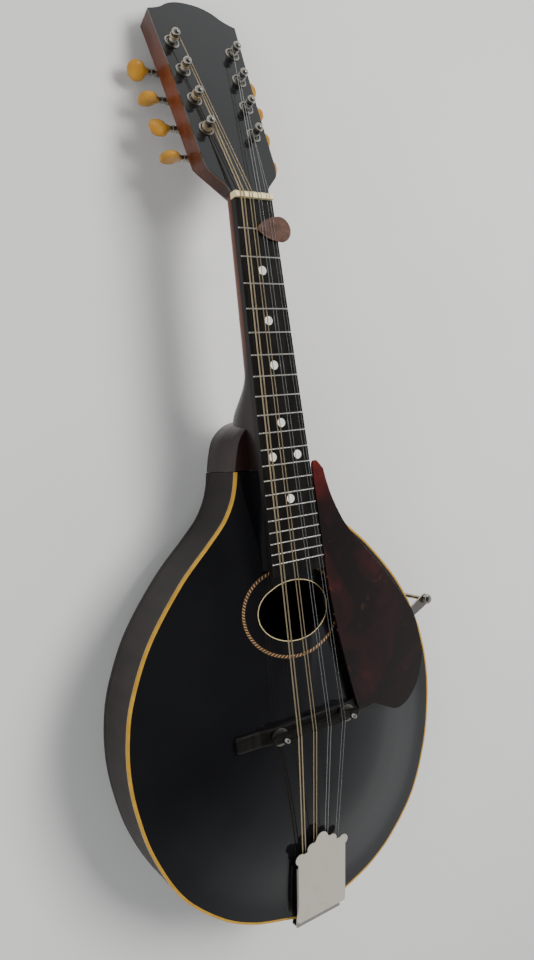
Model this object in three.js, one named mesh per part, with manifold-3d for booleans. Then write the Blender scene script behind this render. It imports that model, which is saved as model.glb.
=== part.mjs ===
// A carved-top, oval-hole mandolin, built the way the real one comes apart on a bench.
// Millimetres. +X is the treble side, +Y points to the headstock, +Z stands off the soundboard.
// Three nested frames are used: the body frame (z = 0 on the top edge of the sides, y = 0 at the nut),
// the neck frame (z = 0 on the fret tops) and the headstock frame (z = 0 on its face).
import * as THREE from "three";
import { mergeVertices } from "three/addons/utils/BufferGeometryUtils.js";
import Module from "manifold-3d";

const wasm = await Module();
wasm.setup();

const RAD = Math.PI / 180;
const GAP = 0.3; // between pieces that touch on the real instrument

// ---------------------------------------------------------------- driving dimensions

// Body outline, right half, from the neck joint round to the tail: [x, y].
const HALF_OUTLINE = [
  [30, -178], [32, -188], [35.5, -198], [43, -210], [56, -223], [79, -245],
  [104, -277], [119, -308], [125, -331], [127, -356], [124.5, -382], [117, -412],
  [101, -445], [77, -470], [54, -484.5], [28, -493.5], [0, -500],
];
const OUTLINE_STEPS = 52;
const NECK_JOINT_Y = HALF_OUTLINE[0][1];
const TAIL_Y = -500;
const ARCH_CENTRE_Y = -370;
const EDGE_DEPTH = 41.7; // top edge to back edge
const PLATE_EDGE = 4.5; // thickness of the soundboard and the back at the sides
const RIM_WALL = 4;
const BINDING = { width: 1.8, depth: 2.2 };

// Arching: [share of the way from the centre to the edge, height].
const TOP_ARCH = [
  [0, 13.5], [0.2, 13.1], [0.4, 11.7], [0.55, 9.7], [0.68, 6.8], [0.8, 3.6], [0.9, 1.3], [1, 0],
];
const TOP_UNDERSIDE = [
  [1, -4.5], [0.89, -4.5], [0.8, -1.6], [0.65, 2.9], [0.45, 6.9], [0.2, 8.9], [0, 9.2],
];
const BACK_ARCH = [[0, -12], [0.25, -12], [0.45, -10.6], [0.62, -7.6], [0.78, -3.6], [0.93, 0], [1, 0]];
const BACK_INSIDE = [[1, 4.5], [0.89, 4.5], [0.78, 1], [0.62, -3], [0.45, -6], [0, -7.6]];

const HOLE = { y: -276.5, rx: 29.5, ry: 21.5 };
const HOLE_BINDING = 1.6;
const ROSETTE = { inner: 8.2, outer: 11.2, depth: 1.2 }; // distances out from the sound hole's edge

const SCALE = 352.4; // nut to saddle
const NECK_TILT = 2.53 * RAD;
const NUT_POINT = [0, 0.5, 10.8]; // centre of the nut's front edge, at fret-top height
const BOARD = { nutWidth: 29.4, endWidth: 42.5, endY: -250, top: -1, bottom: -6 };
const FRET = { count: 20, width: 1.1, sunk: 0.4 };
const NUT = { from: 0.2, to: 4.4, top: 1 };
const NECK_DEPTH = { nut: 14.5, heelStart: 17.2, heel: 50.5, heelStartY: -112, heelY: -146 };
const NECK_START = 5; // the shaft's end under the headstock's throat
const HEEL_NOSE = [[30, -178], [27.5, -167], [24, -157], [18, -150], [10, -145.5], [0, -144]];

const HEAD_TILT = 18 * RAD;
const HEAD_POINT = [0, 4, -4]; // start of the face, in the neck frame
const VENEER = 1.2;
const HEAD_THICKNESS = 15.5;
const HEAD_SIDE = [
  [14.9, 1], [15.2, 3], [17, 7], [22, 12.5], [26.6, 18], [28.4, 26], [31.2, 92], [34.8, 149.5],
];
const HEAD_SHOULDER = [22.5, 155]; // between the crown's two curves, whose controls follow
const HEAD_HORN_CONTROL = [27, 151.6];
const HEAD_CROWN_CONTROL = [14.5, 162.4];
const HEAD_TIP = [0, 162.4];
const HEAD_START = 1.3; // clear of the nut
// The throat's lower corners are cut by a plane through this point, facing this way, and its mirror.
const THROAT_POINT = [28.4, 26, -HEAD_THICKNESS];
const THROAT_NORMAL = [0.682, -0.563, -0.467];

const POST = { firstX: 18.6, firstY: 50.4, spacing: 24, splay: 4.3 * RAD, radius: 2.9, top: 10.6, hole: 3.4 };
const TUNER_PLATE = { back: -17, thickness: 1.2, inner: -8.5, outer: 7.5, below: 17, above: 12 };
const GEAR = { teeth: 14, pitchRadius: 4.2, addendum: 0.5, dedendum: 0.65, middle: -20.6, thickness: 3.4 };
const WORM = { pitchRadius: 2.65, tip: 3.15, root: 2.05, halfLength: 2.6, stepsPerTurn: 8 };
const LEAD = (2 * Math.PI * GEAR.pitchRadius) / GEAR.teeth;
const WORM_OFFSET = GEAR.pitchRadius + WORM.pitchRadius;
const SHAFT = { radius: 1.9, inner: -8.2, outer: 13.2, stub: 1.3, stubLength: 5 };
const EAR = { inside: 4.6, thickness: 1.4, halfWidth: 3.1, bore: 2.15, lowest: -23.6 };
const BUTTON = { centre: 22.2, halfLength: 6.4, halfWidth: 6.8, halfThickness: 3.1 };
const BUTTON_TURNS = [102, -3, 98, 42, 15, 75, 50, 30]; // rest angle of each button, degrees

const STRING_GAUGES = [0.96, 0.96, 0.66, 0.66, 0.4, 0.4, 0.28, 0.28];
const PAIR_AT_NUT = 6.7; // centre to centre of neighbouring pairs
const PAIR_AT_SADDLE = 12.4;
const PAIR_AT_TAIL = 8;
const IN_PAIR = 2.4;
const STRING_ON_POST = [3.8, 5.2, 5.6, 6]; // heights over the headstock's face, nearest post first

const SADDLE = { y: -354.6, crest: 29.2, bottom: 21.9, halfLength: 36, thickness: 5 };
const BRIDGE = { halfLength: 57.5, top: 17.8, width: 11, archHalf: 16, archTop: 15.2 };
const STUD = { x: 28, radius: 1.5, top: 30.6 };
const WHEEL = { radius: 6, bore: 1.75, bottom: 19.1, top: 21.6 };

const TAIL_SLOPE = 8.5 * RAD;
const TAILPIECE = { halfWidth: 19, metal: 1, low: 1.4, hookRow: 14, hookWidth: 1, back: -1.6, length: 44 };
const RAIL = { back: 6, top: 5.9 }; // turned-up sides that guide the cover
const FLANGE = { halfWidth: 13, bottom: -33, shoulderTop: -4, shoulderBottom: -12, clear: 0.5 };
const COVER = { halfWidth: 20.4, roof: 6.3, metal: 0.6, skirt: 4.6, back: 6.1, wallEnd: 47 };
const COVER_EAR = { x: 18.4, y: 55.5, radius: 4.1 }; // the corners bulge past the sides
const COVER_LOBE = { x: 8.6, y: 60, radius: 4 };
const COVER_TIP = { y: 64.3, radius: 5 };

const GUARD = { bottom: 16.2, top: 18.4, pin: [62, -349], pinRadius: 1.4 };
const CLAMP = { x: 112.3, y: -294.5, outward: 25.8 * RAD, screwOut: 4.6, screwRadius: 1.5, bore: 1.75 };
const CLAMP_ARM = { inner: -17, halfWidth: 4, thickness: 1.5 };
const CLAMP_JAW = { lip: -5, web: 1, depth: 5, thickness: 1.5 };
const KNOB = { radius: 3.6, height: 3.8 };
const PICK = { tip: [-1, -20], centre: [17, -19.6], radius: 8.6, bottom: 0.15, top: 0.85 };

// ---------------------------------------------------------------- helpers

function finish(color, roughness, metalness = 0) {
  return new THREE.MeshStandardMaterial({ color, roughness, metalness });
}
const MATERIAL = {
  blackLacquer: finish(0x0b0b0d, 0.18),
  sideStain: finish(0x2b2320, 0.35),
  mahogany: finish(0x5a2e1c, 0.35),
  spruce: finish(0xc89a55, 0.6),
  ebony: finish(0x161312, 0.45),
  ivoroid: finish(0xd9b878, 0.35),
  bone: finish(0xe6dcc0, 0.4),
  rope: finish(0x9a7a56, 0.5),
  nickel: finish(0xb9b7b0, 0.3, 1),
  bronzeWound: finish(0xb58e62, 0.4, 1),
  steel: finish(0xa8acb0, 0.3, 1),
  tortoise: finish(0x4a1a10, 0.25),
  horn: finish(0x6b4a30, 0.35),
};

function toSolid(geometry) {
  const bare = geometry.clone();
  for (const name of Object.keys(bare.attributes)) {
    if (name !== "position") bare.deleteAttribute(name);
  }
  const merged = mergeVertices(bare, 1e-4);
  const mesh = new wasm.Mesh({
    numProp: 3,
    vertProperties: merged.attributes.position.array,
    triVerts: new Uint32Array(merged.index.array),
  });
  return new wasm.Manifold(mesh);
}

function toGeometry(solid) {
  const mesh = solid.getMesh();
  const geometry = new THREE.BufferGeometry();
  geometry.setAttribute("position", new THREE.BufferAttribute(mesh.vertProperties, 3));
  geometry.setIndex(new THREE.BufferAttribute(mesh.triVerts, 1));
  geometry.computeVertexNormals();
  return geometry;
}

function addPiece(group, name, geometry, material) {
  const piece = new THREE.Mesh(geometry, material);
  piece.name = name;
  group.add(piece);
  return piece;
}

const addSolid = (group, name, solid, material) => addPiece(group, name, toGeometry(solid), material);

// A flat outline as a plate from z = low to z = high.
function plate(shape, low, high, curveSegments = 12) {
  const depth = high - low;
  const geometry = new THREE.ExtrudeGeometry(shape, { depth, bevelEnabled: false, curveSegments });
  return geometry.translate(0, 0, low);
}

function box(x0, x1, y0, y1, z0, z1) {
  const geometry = new THREE.BoxGeometry(x1 - x0, y1 - y0, z1 - z0);
  return geometry.translate((x0 + x1) / 2, (y0 + y1) / 2, (z0 + z1) / 2);
}

// A cylinder standing on z.
function rod(x, y, radius, low, high, sides = 16) {
  const geometry = new THREE.CylinderGeometry(radius, radius, high - low, sides);
  return geometry.rotateX(Math.PI / 2).translate(x, y, (low + high) / 2);
}

// A cylinder lying along x.
function crossRod(radius, from, to, sides = 12) {
  const geometry = new THREE.CylinderGeometry(radius, radius, to - from, sides);
  return geometry.rotateZ(Math.PI / 2).translate((from + to) / 2, 0, 0);
}

// A turned piece about z: the profile is [radius, z], bottom first.
function turned(profile, sides) {
  const points = profile.map(([r, z]) => new THREE.Vector2(r, z));
  return new THREE.LatheGeometry(points, sides).rotateX(Math.PI / 2);
}

const shapeOf = (points) => new THREE.Shape(points.map(([x, y]) => new THREE.Vector2(x, y)));
const smooth = (t) => t * t * (3 - 2 * t);

// An extruded unit section whose vertices (x, y, share along) are moved by place().
function swept(shape, steps, place) {
  const settings = { depth: 1, steps, bevelEnabled: false, curveSegments: 10 };
  const geometry = new THREE.ExtrudeGeometry(shape, settings);
  const position = geometry.attributes.position;
  for (let i = 0; i < position.count; i++) {
    position.setXYZ(i, ...place(position.getX(i), position.getY(i), position.getZ(i)));
  }
  return geometry;
}

// ---------------------------------------------------------------- frames

const instrument = new THREE.Group();
instrument.name = "mandolin";
const neckFrame = new THREE.Group();
neckFrame.position.set(...NUT_POINT);
neckFrame.rotation.x = -NECK_TILT;
instrument.add(neckFrame);
const headFrame = new THREE.Group();
headFrame.position.set(...HEAD_POINT);
headFrame.rotation.x = -HEAD_TILT;
neckFrame.add(headFrame);
const tailFrame = new THREE.Group();
tailFrame.position.set(0, TAIL_Y, 0);
tailFrame.rotation.x = TAIL_SLOPE;
instrument.add(tailFrame);
for (const frame of [neckFrame, headFrame, tailFrame]) frame.updateMatrix();

// Matrices from each frame to the body frame.
const neckToBody = neckFrame.matrix.clone();
const headToBody = neckToBody.clone().multiply(headFrame.matrix);
const bodyToNeck = neckToBody.clone().invert();
const moved = (solid, matrix) => solid.transform(matrix.elements);

// ---------------------------------------------------------------- body

// Counter-clockwise seen from above: down the bass side, round the tail, up the treble side.
function outlineCurve() {
  const treble = HALF_OUTLINE.map(([x, y]) => new THREE.Vector2(x, y)).reverse();
  const bass = HALF_OUTLINE.slice(0, -1).map(([x, y]) => new THREE.Vector2(-x, y));
  return new THREE.SplineCurve([...bass, ...treble]).getSpacedPoints(OUTLINE_STEPS);
}
const OUTLINE = outlineCurve();

function insetOutline(distance) {
  return OUTLINE.map((point, i) => {
    const before = OUTLINE[Math.max(i - 1, 0)];
    const after = OUTLINE[Math.min(i + 1, OUTLINE.length - 1)];
    const along = after.clone().sub(before).normalize();
    return new THREE.Vector2(point.x - along.y * distance, point.y + along.x * distance);
  });
}

// A strip that follows the sides and stays open at the neck.
function sideStrip(outer, inner, low, high) {
  const shape = new THREE.Shape([...insetOutline(outer), ...insetOutline(inner).reverse()]);
  return plate(shape, low, high);
}

// A carved plate: a turned profile whose rings follow the body outline.
function carvedPlate(inset, profile, lift) {
  const edge = insetOutline(inset);
  const last = edge[edge.length - 1];
  for (const share of [0.25, 0.5, 0.75]) edge.push(last.clone().lerp(edge[0], share));
  const points = profile.map(([share, height]) => new THREE.Vector2(share, height));
  const geometry = new THREE.LatheGeometry(points, edge.length);
  const position = geometry.attributes.position;
  for (let i = 0; i < position.count; i++) {
    const column = Math.floor(i / profile.length) % edge.length;
    const [share, height] = profile[i % profile.length];
    const x = edge[column].x * share;
    const y = ARCH_CENTRE_Y + (edge[column].y - ARCH_CENTRE_Y) * share;
    position.setXYZ(i, x, y, height + lift);
  }
  return geometry;
}

const risingTop = [...TOP_ARCH].reverse();
const topProfile = [...TOP_UNDERSIDE].reverse().concat(risingTop);
const boardInset = BINDING.width + GAP;
const topBlank = toSolid(carvedPlate(boardInset, topProfile, 0));

// Everything from just above the top's surface down: what stands on the top is cut by it.
const underTop = toSolid(carvedPlate(boardInset, [[0, -20], [1, -20], ...risingTop], GAP));
// Everything from just under the top's underside up: what sits inside is cut by it.
const overUnderside = toSolid(
  carvedPlate(boardInset, [...TOP_UNDERSIDE].reverse().concat([[1, 40], [0, 40]]), -GAP),
);

function ovalRing(outer, inner, low, high) {
  const shape = new THREE.Shape();
  shape.absellipse(0, HOLE.y, HOLE.rx + outer, HOLE.ry + outer, 0, 2 * Math.PI);
  if (inner !== null) {
    const opening = new THREE.Path();
    opening.absellipse(0, HOLE.y, HOLE.rx + inner, HOLE.ry + inner, 0, 2 * Math.PI);
    shape.holes.push(opening);
  }
  return toSolid(plate(shape, low, high, 20));
}

function addTop() {
  const rosetteRing = ovalRing(ROSETTE.outer, ROSETTE.inner, -5, 20);
  const grooveRing = ovalRing(ROSETTE.outer + GAP, ROSETTE.inner - GAP, -5, 20);
  const groove = grooveRing.subtract(wholeUnderTop(ROSETTE.depth));
  const top = topBlank.subtract(ovalRing(0, null, -10, 30)).subtract(groove);
  const inlay = rosetteRing.intersect(topBlank).subtract(wholeUnderTop(ROSETTE.depth - GAP));
  const binding = ovalRing(-GAP, -GAP - HOLE_BINDING, -10, 30).intersect(topBlank);
  addSolid(instrument, "soundboard", top, MATERIAL.blackLacquer);
  addSolid(instrument, "rosette", inlay, MATERIAL.rope);
  addSolid(instrument, "soundhole_binding", binding, MATERIAL.ivoroid);
}

// Everything deeper than a given depth under the top's surface.
function wholeUnderTop(depth) {
  return underTop.translate([0, 0, -depth - GAP]);
}

function addBackAndSides() {
  const backPlate = carvedPlate(0, [...BACK_ARCH, ...BACK_INSIDE], -EDGE_DEPTH);
  addPiece(instrument, "back", backPlate, MATERIAL.sideStain);
  const low = -EDGE_DEPTH + PLATE_EDGE + GAP;
  const high = -PLATE_EDGE - GAP;
  // The sides rise past the soundboard's edge as a thin lip that carries the binding.
  const lip = toSolid(sideStrip(0, BINDING.width, high - 1, -BINDING.depth - GAP));
  const rim = toSolid(sideStrip(0, RIM_WALL, low, high)).add(lip);
  addSolid(instrument, "rim", rim, MATERIAL.sideStain);
  const binding = sideStrip(0, BINDING.width, -BINDING.depth, 0);
  addPiece(instrument, "body_binding", binding, MATERIAL.ivoroid);
  const liningOuter = RIM_WALL + GAP;
  const liningInner = liningOuter + 5;
  addPiece(instrument, "top_lining", sideStrip(liningOuter, liningInner, high - 8, high), MATERIAL.spruce);
  addPiece(instrument, "back_lining", sideStrip(liningOuter, liningInner, low, low + 8), MATERIAL.spruce);
  const notchTop = toSolid(sideStrip(liningOuter - 1, liningInner + GAP, high - 8 - GAP, high + 1));
  const notchBack = toSolid(sideStrip(liningOuter - 1, liningInner + GAP, low - 1, low + 8 + GAP));
  const inside = toSolid(plate(new THREE.Shape(insetOutline(liningOuter)), low, high));
  const blocks = {
    tail_block: box(-26, 26, TAIL_Y, TAIL_Y + 18, low, high),
    neck_block: box(-29, 29, NECK_JOINT_Y - 28, NECK_JOINT_Y - GAP, low, high),
  };
  for (const [name, blank] of Object.entries(blocks)) {
    const block = toSolid(blank).intersect(inside).subtract(notchTop).subtract(notchBack);
    addSolid(instrument, name, block, MATERIAL.mahogany);
  }
  const bar = toSolid(box(-82, 82, HOLE.y - 40, HOLE.y - 32, 0, 12)).subtract(overUnderside);
  addSolid(instrument, "tone_bar", bar, MATERIAL.spruce);
}

addTop();
addBackAndSides();

// ---------------------------------------------------------------- neck

function boardHalfWidth(y) {
  const { nutWidth, endWidth, endY } = BOARD;
  return nutWidth / 2 + ((endWidth - nutWidth) / 2) * (y / endY);
}

function neckShaft() {
  const section = new THREE.Shape();
  section.moveTo(-1, 0);
  section.absellipse(0, 0, 1, 1, Math.PI, 2 * Math.PI);
  const top = BOARD.bottom - GAP;
  const end = NECK_JOINT_Y + GAP;
  const { nut, heelStart, heel, heelStartY, heelY } = NECK_DEPTH;
  return swept(section, 24, (x, y, share) => {
    const at = NECK_START + (end - NECK_START) * share;
    const slim = nut + ((heelStart - nut) * Math.min(at, 0)) / heelStartY;
    const intoHeel = THREE.MathUtils.clamp((at - heelStartY) / (heelY - heelStartY), 0, 1);
    const depth = slim + (heel - slim) * smooth(intoHeel);
    return [x * boardHalfWidth(at), at, top + y * depth];
  });
}

function heelBlock() {
  const half = HEEL_NOSE.map(([x, y]) => new THREE.Vector2(x, y + GAP));
  const bass = half.slice(0, -1).map((p) => new THREE.Vector2(-p.x, p.y)).reverse();
  const nose = new THREE.SplineCurve([...half, ...bass]).getSpacedPoints(24);
  return plate(new THREE.Shape(nose), -EDGE_DEPTH, 0);
}

function boardRiser() {
  const start = NECK_JOINT_Y + 3;
  const end = BOARD.endY + 4;
  const outline = [
    [-boardHalfWidth(start) + 1, start], [-boardHalfWidth(end) + 1, end],
    [boardHalfWidth(end) - 1, end], [boardHalfWidth(start) - 1, start],
  ];
  return toSolid(plate(shapeOf(outline), BOARD.bottom - 14, BOARD.bottom - GAP));
}

// Where the i-th post from the nut stands on one side (-1 bass, 1 treble), in the headstock frame.
function postPlace(side, i) {
  const along = POST.spacing * i;
  return [side * (POST.firstX + along * Math.sin(POST.splay)), POST.firstY + along * Math.cos(POST.splay)];
}

function headShape(from) {
  const edge = HEAD_SIDE.filter(([, y]) => y > from);
  const startX = HEAD_SIDE[0][0];
  const shape = new THREE.Shape();
  shape.moveTo(-startX, from);
  shape.lineTo(startX, from);
  for (const [x, y] of edge) shape.lineTo(x, y);
  const mirror = ([x, y]) => [-x, y];
  shape.quadraticCurveTo(...HEAD_HORN_CONTROL, ...HEAD_SHOULDER);
  shape.quadraticCurveTo(...HEAD_CROWN_CONTROL, ...HEAD_TIP);
  shape.quadraticCurveTo(...mirror(HEAD_CROWN_CONTROL), ...mirror(HEAD_SHOULDER));
  shape.quadraticCurveTo(...mirror(HEAD_HORN_CONTROL), ...mirror(edge[edge.length - 1]));
  for (const corner of [...edge].reverse()) shape.lineTo(...mirror(corner));
  for (const side of [-1, 1]) {
    for (let i = 0; i < 4; i++) {
      const hole = new THREE.Path();
      hole.absarc(...postPlace(side, i), POST.hole, 0, 2 * Math.PI);
      shape.holes.push(hole);
    }
  }
  return shape;
}

function throatCut(solid) {
  const [nx, ny, nz] = THROAT_NORMAL;
  const reach = -(nx * THROAT_POINT[0] + ny * THROAT_POINT[1] + nz * THROAT_POINT[2]);
  return solid.trimByPlane([-nx, -ny, -nz], reach).trimByPlane([nx, -ny, -nz], reach);
}

function addNeck() {
  const heel = moved(toSolid(heelBlock()), bodyToNeck);
  const topInNeck = moved(underTop, bodyToNeck);
  const headBlank = plate(headShape(HEAD_START), -HEAD_THICKNESS, -VENEER - GAP, 5);
  const head = moved(throatCut(toSolid(headBlank)), headFrame.matrix);
  const pastJoint = moved(toSolid(box(-40, 40, NECK_JOINT_Y - 40, NECK_JOINT_Y + GAP, -70, -0.5)), bodyToNeck);
  const solid = toSolid(neckShaft()).subtract(pastJoint).add(heel).add(boardRiser().subtract(topInNeck)).add(head);
  addSolid(neckFrame, "neck", solid, MATERIAL.mahogany);
  const veneer = plate(headShape(HEAD_START), -VENEER, 0, 5);
  addPiece(headFrame, "headstock_veneer", veneer, MATERIAL.blackLacquer);

  const outline = [
    [-boardHalfWidth(0), 0], [-boardHalfWidth(BOARD.endY), BOARD.endY],
    [boardHalfWidth(BOARD.endY), BOARD.endY], [boardHalfWidth(0), 0],
  ];
  let board = toSolid(plate(shapeOf(outline), BOARD.bottom, BOARD.top));
  for (let n = 1; n <= FRET.count; n++) {
    const y = -SCALE * (1 - 2 ** (-n / 12));
    const half = boardHalfWidth(y) - 0.2;
    const wire = box(-half, half, y - FRET.width / 2, y + FRET.width / 2, BOARD.top - FRET.sunk, 0);
    board = board.add(toSolid(wire));
  }
  addSolid(neckFrame, "fretboard", board, MATERIAL.ebony);
  const nutHalf = BOARD.nutWidth / 2;
  addPiece(neckFrame, "nut", box(-nutHalf, nutHalf, NUT.from, NUT.to, BOARD.bottom, NUT.top), MATERIAL.bone);
}

addNeck();

// ---------------------------------------------------------------- tuners

function tunerPlate() {
  const low = TUNER_PLATE.back;
  const high = low + TUNER_PLATE.thickness;
  const run = 3 * POST.spacing;
  const shape = shapeOf([
    [TUNER_PLATE.inner, -TUNER_PLATE.below], [TUNER_PLATE.outer, -TUNER_PLATE.below],
    [TUNER_PLATE.outer, run + TUNER_PLATE.above], [TUNER_PLATE.inner, run + TUNER_PLATE.above],
  ]);
  let solid = toSolid(plate(shape, low, high));
  for (let i = 0; i < 4; i++) {
    const y = i * POST.spacing;
    const axis = y - WORM_OFFSET;
    for (const x of [-EAR.inside - EAR.thickness, EAR.inside]) {
      const { thickness, halfWidth, lowest } = EAR;
      const ear = box(x, x + thickness, axis - halfWidth, axis + halfWidth, lowest, low + 0.2);
      solid = solid.add(toSolid(ear));
    }
    const bore = crossRod(EAR.bore, -10, 10, 10).translate(0, axis, GEAR.middle);
    solid = solid.subtract(toSolid(bore)).subtract(toSolid(rod(0, y, POST.hole, low - 1, high + 1, 12)));
  }
  return solid;
}

// A spur wheel of narrow teeth; a gap faces -y, where the worm is.
function wormWheel() {
  const pitch = (2 * Math.PI) / GEAR.teeth;
  const tip = GEAR.pitchRadius + GEAR.addendum;
  const root = GEAR.pitchRadius - GEAR.dedendum;
  const corners = [[root, -0.25], [tip, -0.12], [tip, 0.12], [root, 0.25]];
  const points = [];
  for (let tooth = 0; tooth < GEAR.teeth; tooth++) {
    const middle = -Math.PI / 2 + (tooth + 0.5) * pitch;
    for (const [radius, share] of corners) {
      const angle = middle + share * pitch;
      points.push([radius * Math.cos(angle), radius * Math.sin(angle)]);
    }
  }
  const half = GEAR.thickness / 2;
  return plate(shapeOf(points), GEAR.middle - half, GEAR.middle + half);
}

function tunerPost() {
  const r = POST.radius;
  const bottom = GEAR.middle - GEAR.thickness / 2;
  const profile = [
    [0, bottom - 0.9], [1.9, bottom - 0.9], [2.2, bottom - 0.5], [2.2, bottom + 1], [r, bottom + 1],
    [r, 6.6], [3.3, 7.2], [3.4, 8.2], [2.9, 9.6], [1.7, 10.4], [0, POST.top],
  ];
  return toSolid(turned(profile, 12)).add(toSolid(wormWheel()));
}

// A single thread: the section's bump turns once per lead along the shaft.
function wormShaft() {
  const section = [];
  const corners = [[-180, 0], [-125, 0], [-75, 0], [-38, 1], [0, 1], [38, 1], [75, 0], [125, 0]];
  for (const [degrees, raised] of corners) {
    const radius = raised ? WORM.tip : WORM.root;
    section.push([radius * Math.cos(degrees * RAD), radius * Math.sin(degrees * RAD)]);
  }
  const length = 2 * WORM.halfLength;
  const steps = Math.round((length / LEAD) * WORM.stepsPerTurn);
  // The bump faces the wheel (+y) where x = 0; the thread is right-handed about +x.
  const thread = swept(shapeOf(section), steps, (a, b, share) => {
    const x = -WORM.halfLength + length * share;
    const turn = (2 * Math.PI * x) / LEAD;
    return [x, a * Math.cos(turn) - b * Math.sin(turn), a * Math.sin(turn) + b * Math.cos(turn)];
  });
  const end = WORM.halfLength - 0.2;
  return toSolid(thread)
    .add(toSolid(crossRod(SHAFT.radius, SHAFT.inner, -end, 10)))
    .add(toSolid(crossRod(SHAFT.radius, end, SHAFT.outer, 10)))
    .add(toSolid(crossRod(SHAFT.stub, SHAFT.outer - 1, SHAFT.outer + SHAFT.stubLength, 8)));
}

function tunerButton() {
  const oval = new THREE.SphereGeometry(1, 12, 8);
  oval.scale(BUTTON.halfLength, BUTTON.halfWidth, BUTTON.halfThickness).translate(BUTTON.centre, 0, 0);
  const collarEnd = BUTTON.centre - BUTTON.halfLength + 2;
  const collarStart = SHAFT.outer + GAP;
  const collar = new THREE.CylinderGeometry(2.6, 2, collarEnd - collarStart, 12).rotateZ(-Math.PI / 2);
  collar.translate((collarStart + collarEnd) / 2, 0, 0);
  const bore = crossRod(SHAFT.stub + GAP, SHAFT.outer - 1, SHAFT.outer + SHAFT.stubLength + GAP, 10);
  return toSolid(oval).add(toSolid(collar)).subtract(toSolid(bore));
}

function addTuners() {
  for (const [label, side] of [["bass", -1], ["treble", 1]]) {
    const row = new THREE.Group();
    row.position.set(side * POST.firstX, POST.firstY, 0);
    row.rotation.z = -side * POST.splay;
    row.scale.x = side;
    headFrame.add(row);
    addSolid(row, "tuner_plate_" + label, tunerPlate(), MATERIAL.nickel);
    for (let i = 0; i < 4; i++) {
      const number = side < 0 ? i + 1 : 8 - i;
      const y = i * POST.spacing;
      addSolid(row, "tuner_post_" + number, tunerPost().translate([0, y, 0]), MATERIAL.nickel);
      const shaft = addSolid(row, "worm_shaft_" + number, wormShaft(), MATERIAL.nickel);
      const button = addSolid(row, "tuner_button_" + number, tunerButton(), MATERIAL.ivoroid);
      button.rotation.x = BUTTON_TURNS[number - 1] * RAD;
      for (const piece of [shaft, button]) piece.position.set(0, y - WORM_OFFSET, GEAR.middle);
    }
  }
}

addTuners();

// ---------------------------------------------------------------- bridge

function bridgeBase() {
  const { halfLength, top, width, archHalf, archTop } = BRIDGE;
  const half = [
    [0, top], [31, top], [36, 16.8], [39.5, 15.7], [46, 15], [halfLength, 14.2], [halfLength, 0], [archHalf, 0],
  ];
  const shape = shapeOf([...half, ...half.slice(1).reverse().map(([x, z]) => [-x, z])]);
  const blank = new THREE.ExtrudeGeometry(shape, { depth: width, bevelEnabled: false });
  blank.rotateX(Math.PI / 2).translate(0, SADDLE.y + width / 2, 0);
  const arch = new THREE.CylinderGeometry(1, 1, width + 2, 20);
  arch.scale(archHalf, 1, archTop).translate(0, SADDLE.y, 0);
  let solid = toSolid(blank).subtract(toSolid(arch)).subtract(underTop);
  for (const x of [-STUD.x, STUD.x]) {
    solid = solid.add(toSolid(rod(x, SADDLE.y, STUD.radius, top - 3, STUD.top, 12)));
  }
  return solid;
}

function bridgeSaddle() {
  const { halfLength, crest, bottom, thickness } = SADDLE;
  const half = [
    [0, crest], [21.5, crest], [24, 27.6], [33, 27], [halfLength, 25.4], [halfLength, 23.4], [34, bottom],
  ];
  const shape = shapeOf([...half, ...half.slice(1).reverse().map(([x, z]) => [-x, z])]);
  const blank = swept(shape, 1, (x, z, share) => {
    const slim = 1 - (0.55 * Math.max(z - 24, 0)) / (crest - 24);
    return [x, SADDLE.y + (0.5 - share) * thickness * slim, z];
  });
  let solid = toSolid(blank);
  for (const x of [-STUD.x, STUD.x]) {
    solid = solid.subtract(toSolid(rod(x, SADDLE.y, WHEEL.bore, bottom - 1, crest + 1)));
  }
  return solid;
}

function thumbwheel() {
  const { radius, bore, bottom, top } = WHEEL;
  const ease = 0.4;
  const profile = [
    [bore, bottom], [radius - ease, bottom], [radius, bottom + ease], [radius, top - ease],
    [radius - ease, top], [bore, top], [bore, bottom],
  ];
  return turned(profile, 20);
}

addSolid(instrument, "bridge_base", bridgeBase(), MATERIAL.ebony);
addSolid(instrument, "bridge_saddle", bridgeSaddle(), MATERIAL.ebony);
for (const [label, side] of [["bass", -1], ["treble", 1]]) {
  const wheel = thumbwheel().translate(side * STUD.x, SADDLE.y, 0);
  addPiece(instrument, "thumbwheel_" + label, wheel, MATERIAL.nickel);
}

// ---------------------------------------------------------------- tailpiece

function tailpieceFrame() {
  const { halfWidth, metal, low, hookRow, hookWidth, back, length } = TAILPIECE;
  const { halfWidth: narrow, bottom, shoulderTop, shoulderBottom, clear } = FLANGE;
  let solid = toSolid(box(-halfWidth, halfWidth, back, length, low, low + metal));
  const flangeShape = shapeOf([
    [-halfWidth, low + metal], [-halfWidth, shoulderTop], [-narrow, shoulderBottom], [-narrow, bottom],
    [narrow, bottom], [narrow, shoulderBottom], [halfWidth, shoulderTop], [halfWidth, low + metal],
  ]);
  const strap = new THREE.ExtrudeGeometry(flangeShape, { depth: metal, bevelEnabled: false });
  strap.rotateX(Math.PI / 2).translate(0, -clear, 0);
  const upright = new THREE.Matrix4().makeRotationX(-TAIL_SLOPE);
  solid = solid.add(moved(toSolid(strap), upright));
  for (const x of [-halfWidth, halfWidth - metal]) {
    const rail = box(x, x + metal, RAIL.back, length, low, RAIL.top);
    solid = solid.add(toSolid(rail));
  }
  for (let i = 0; i < 8; i++) {
    const x = stringSpread(i, PAIR_AT_TAIL) - hookWidth / 2;
    const hook = box(x, x + hookWidth, hookRow - 1.2, hookRow, low + 0.5, low + 3.2);
    solid = solid.add(toSolid(hook));
  }
  return solid;
}

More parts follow.
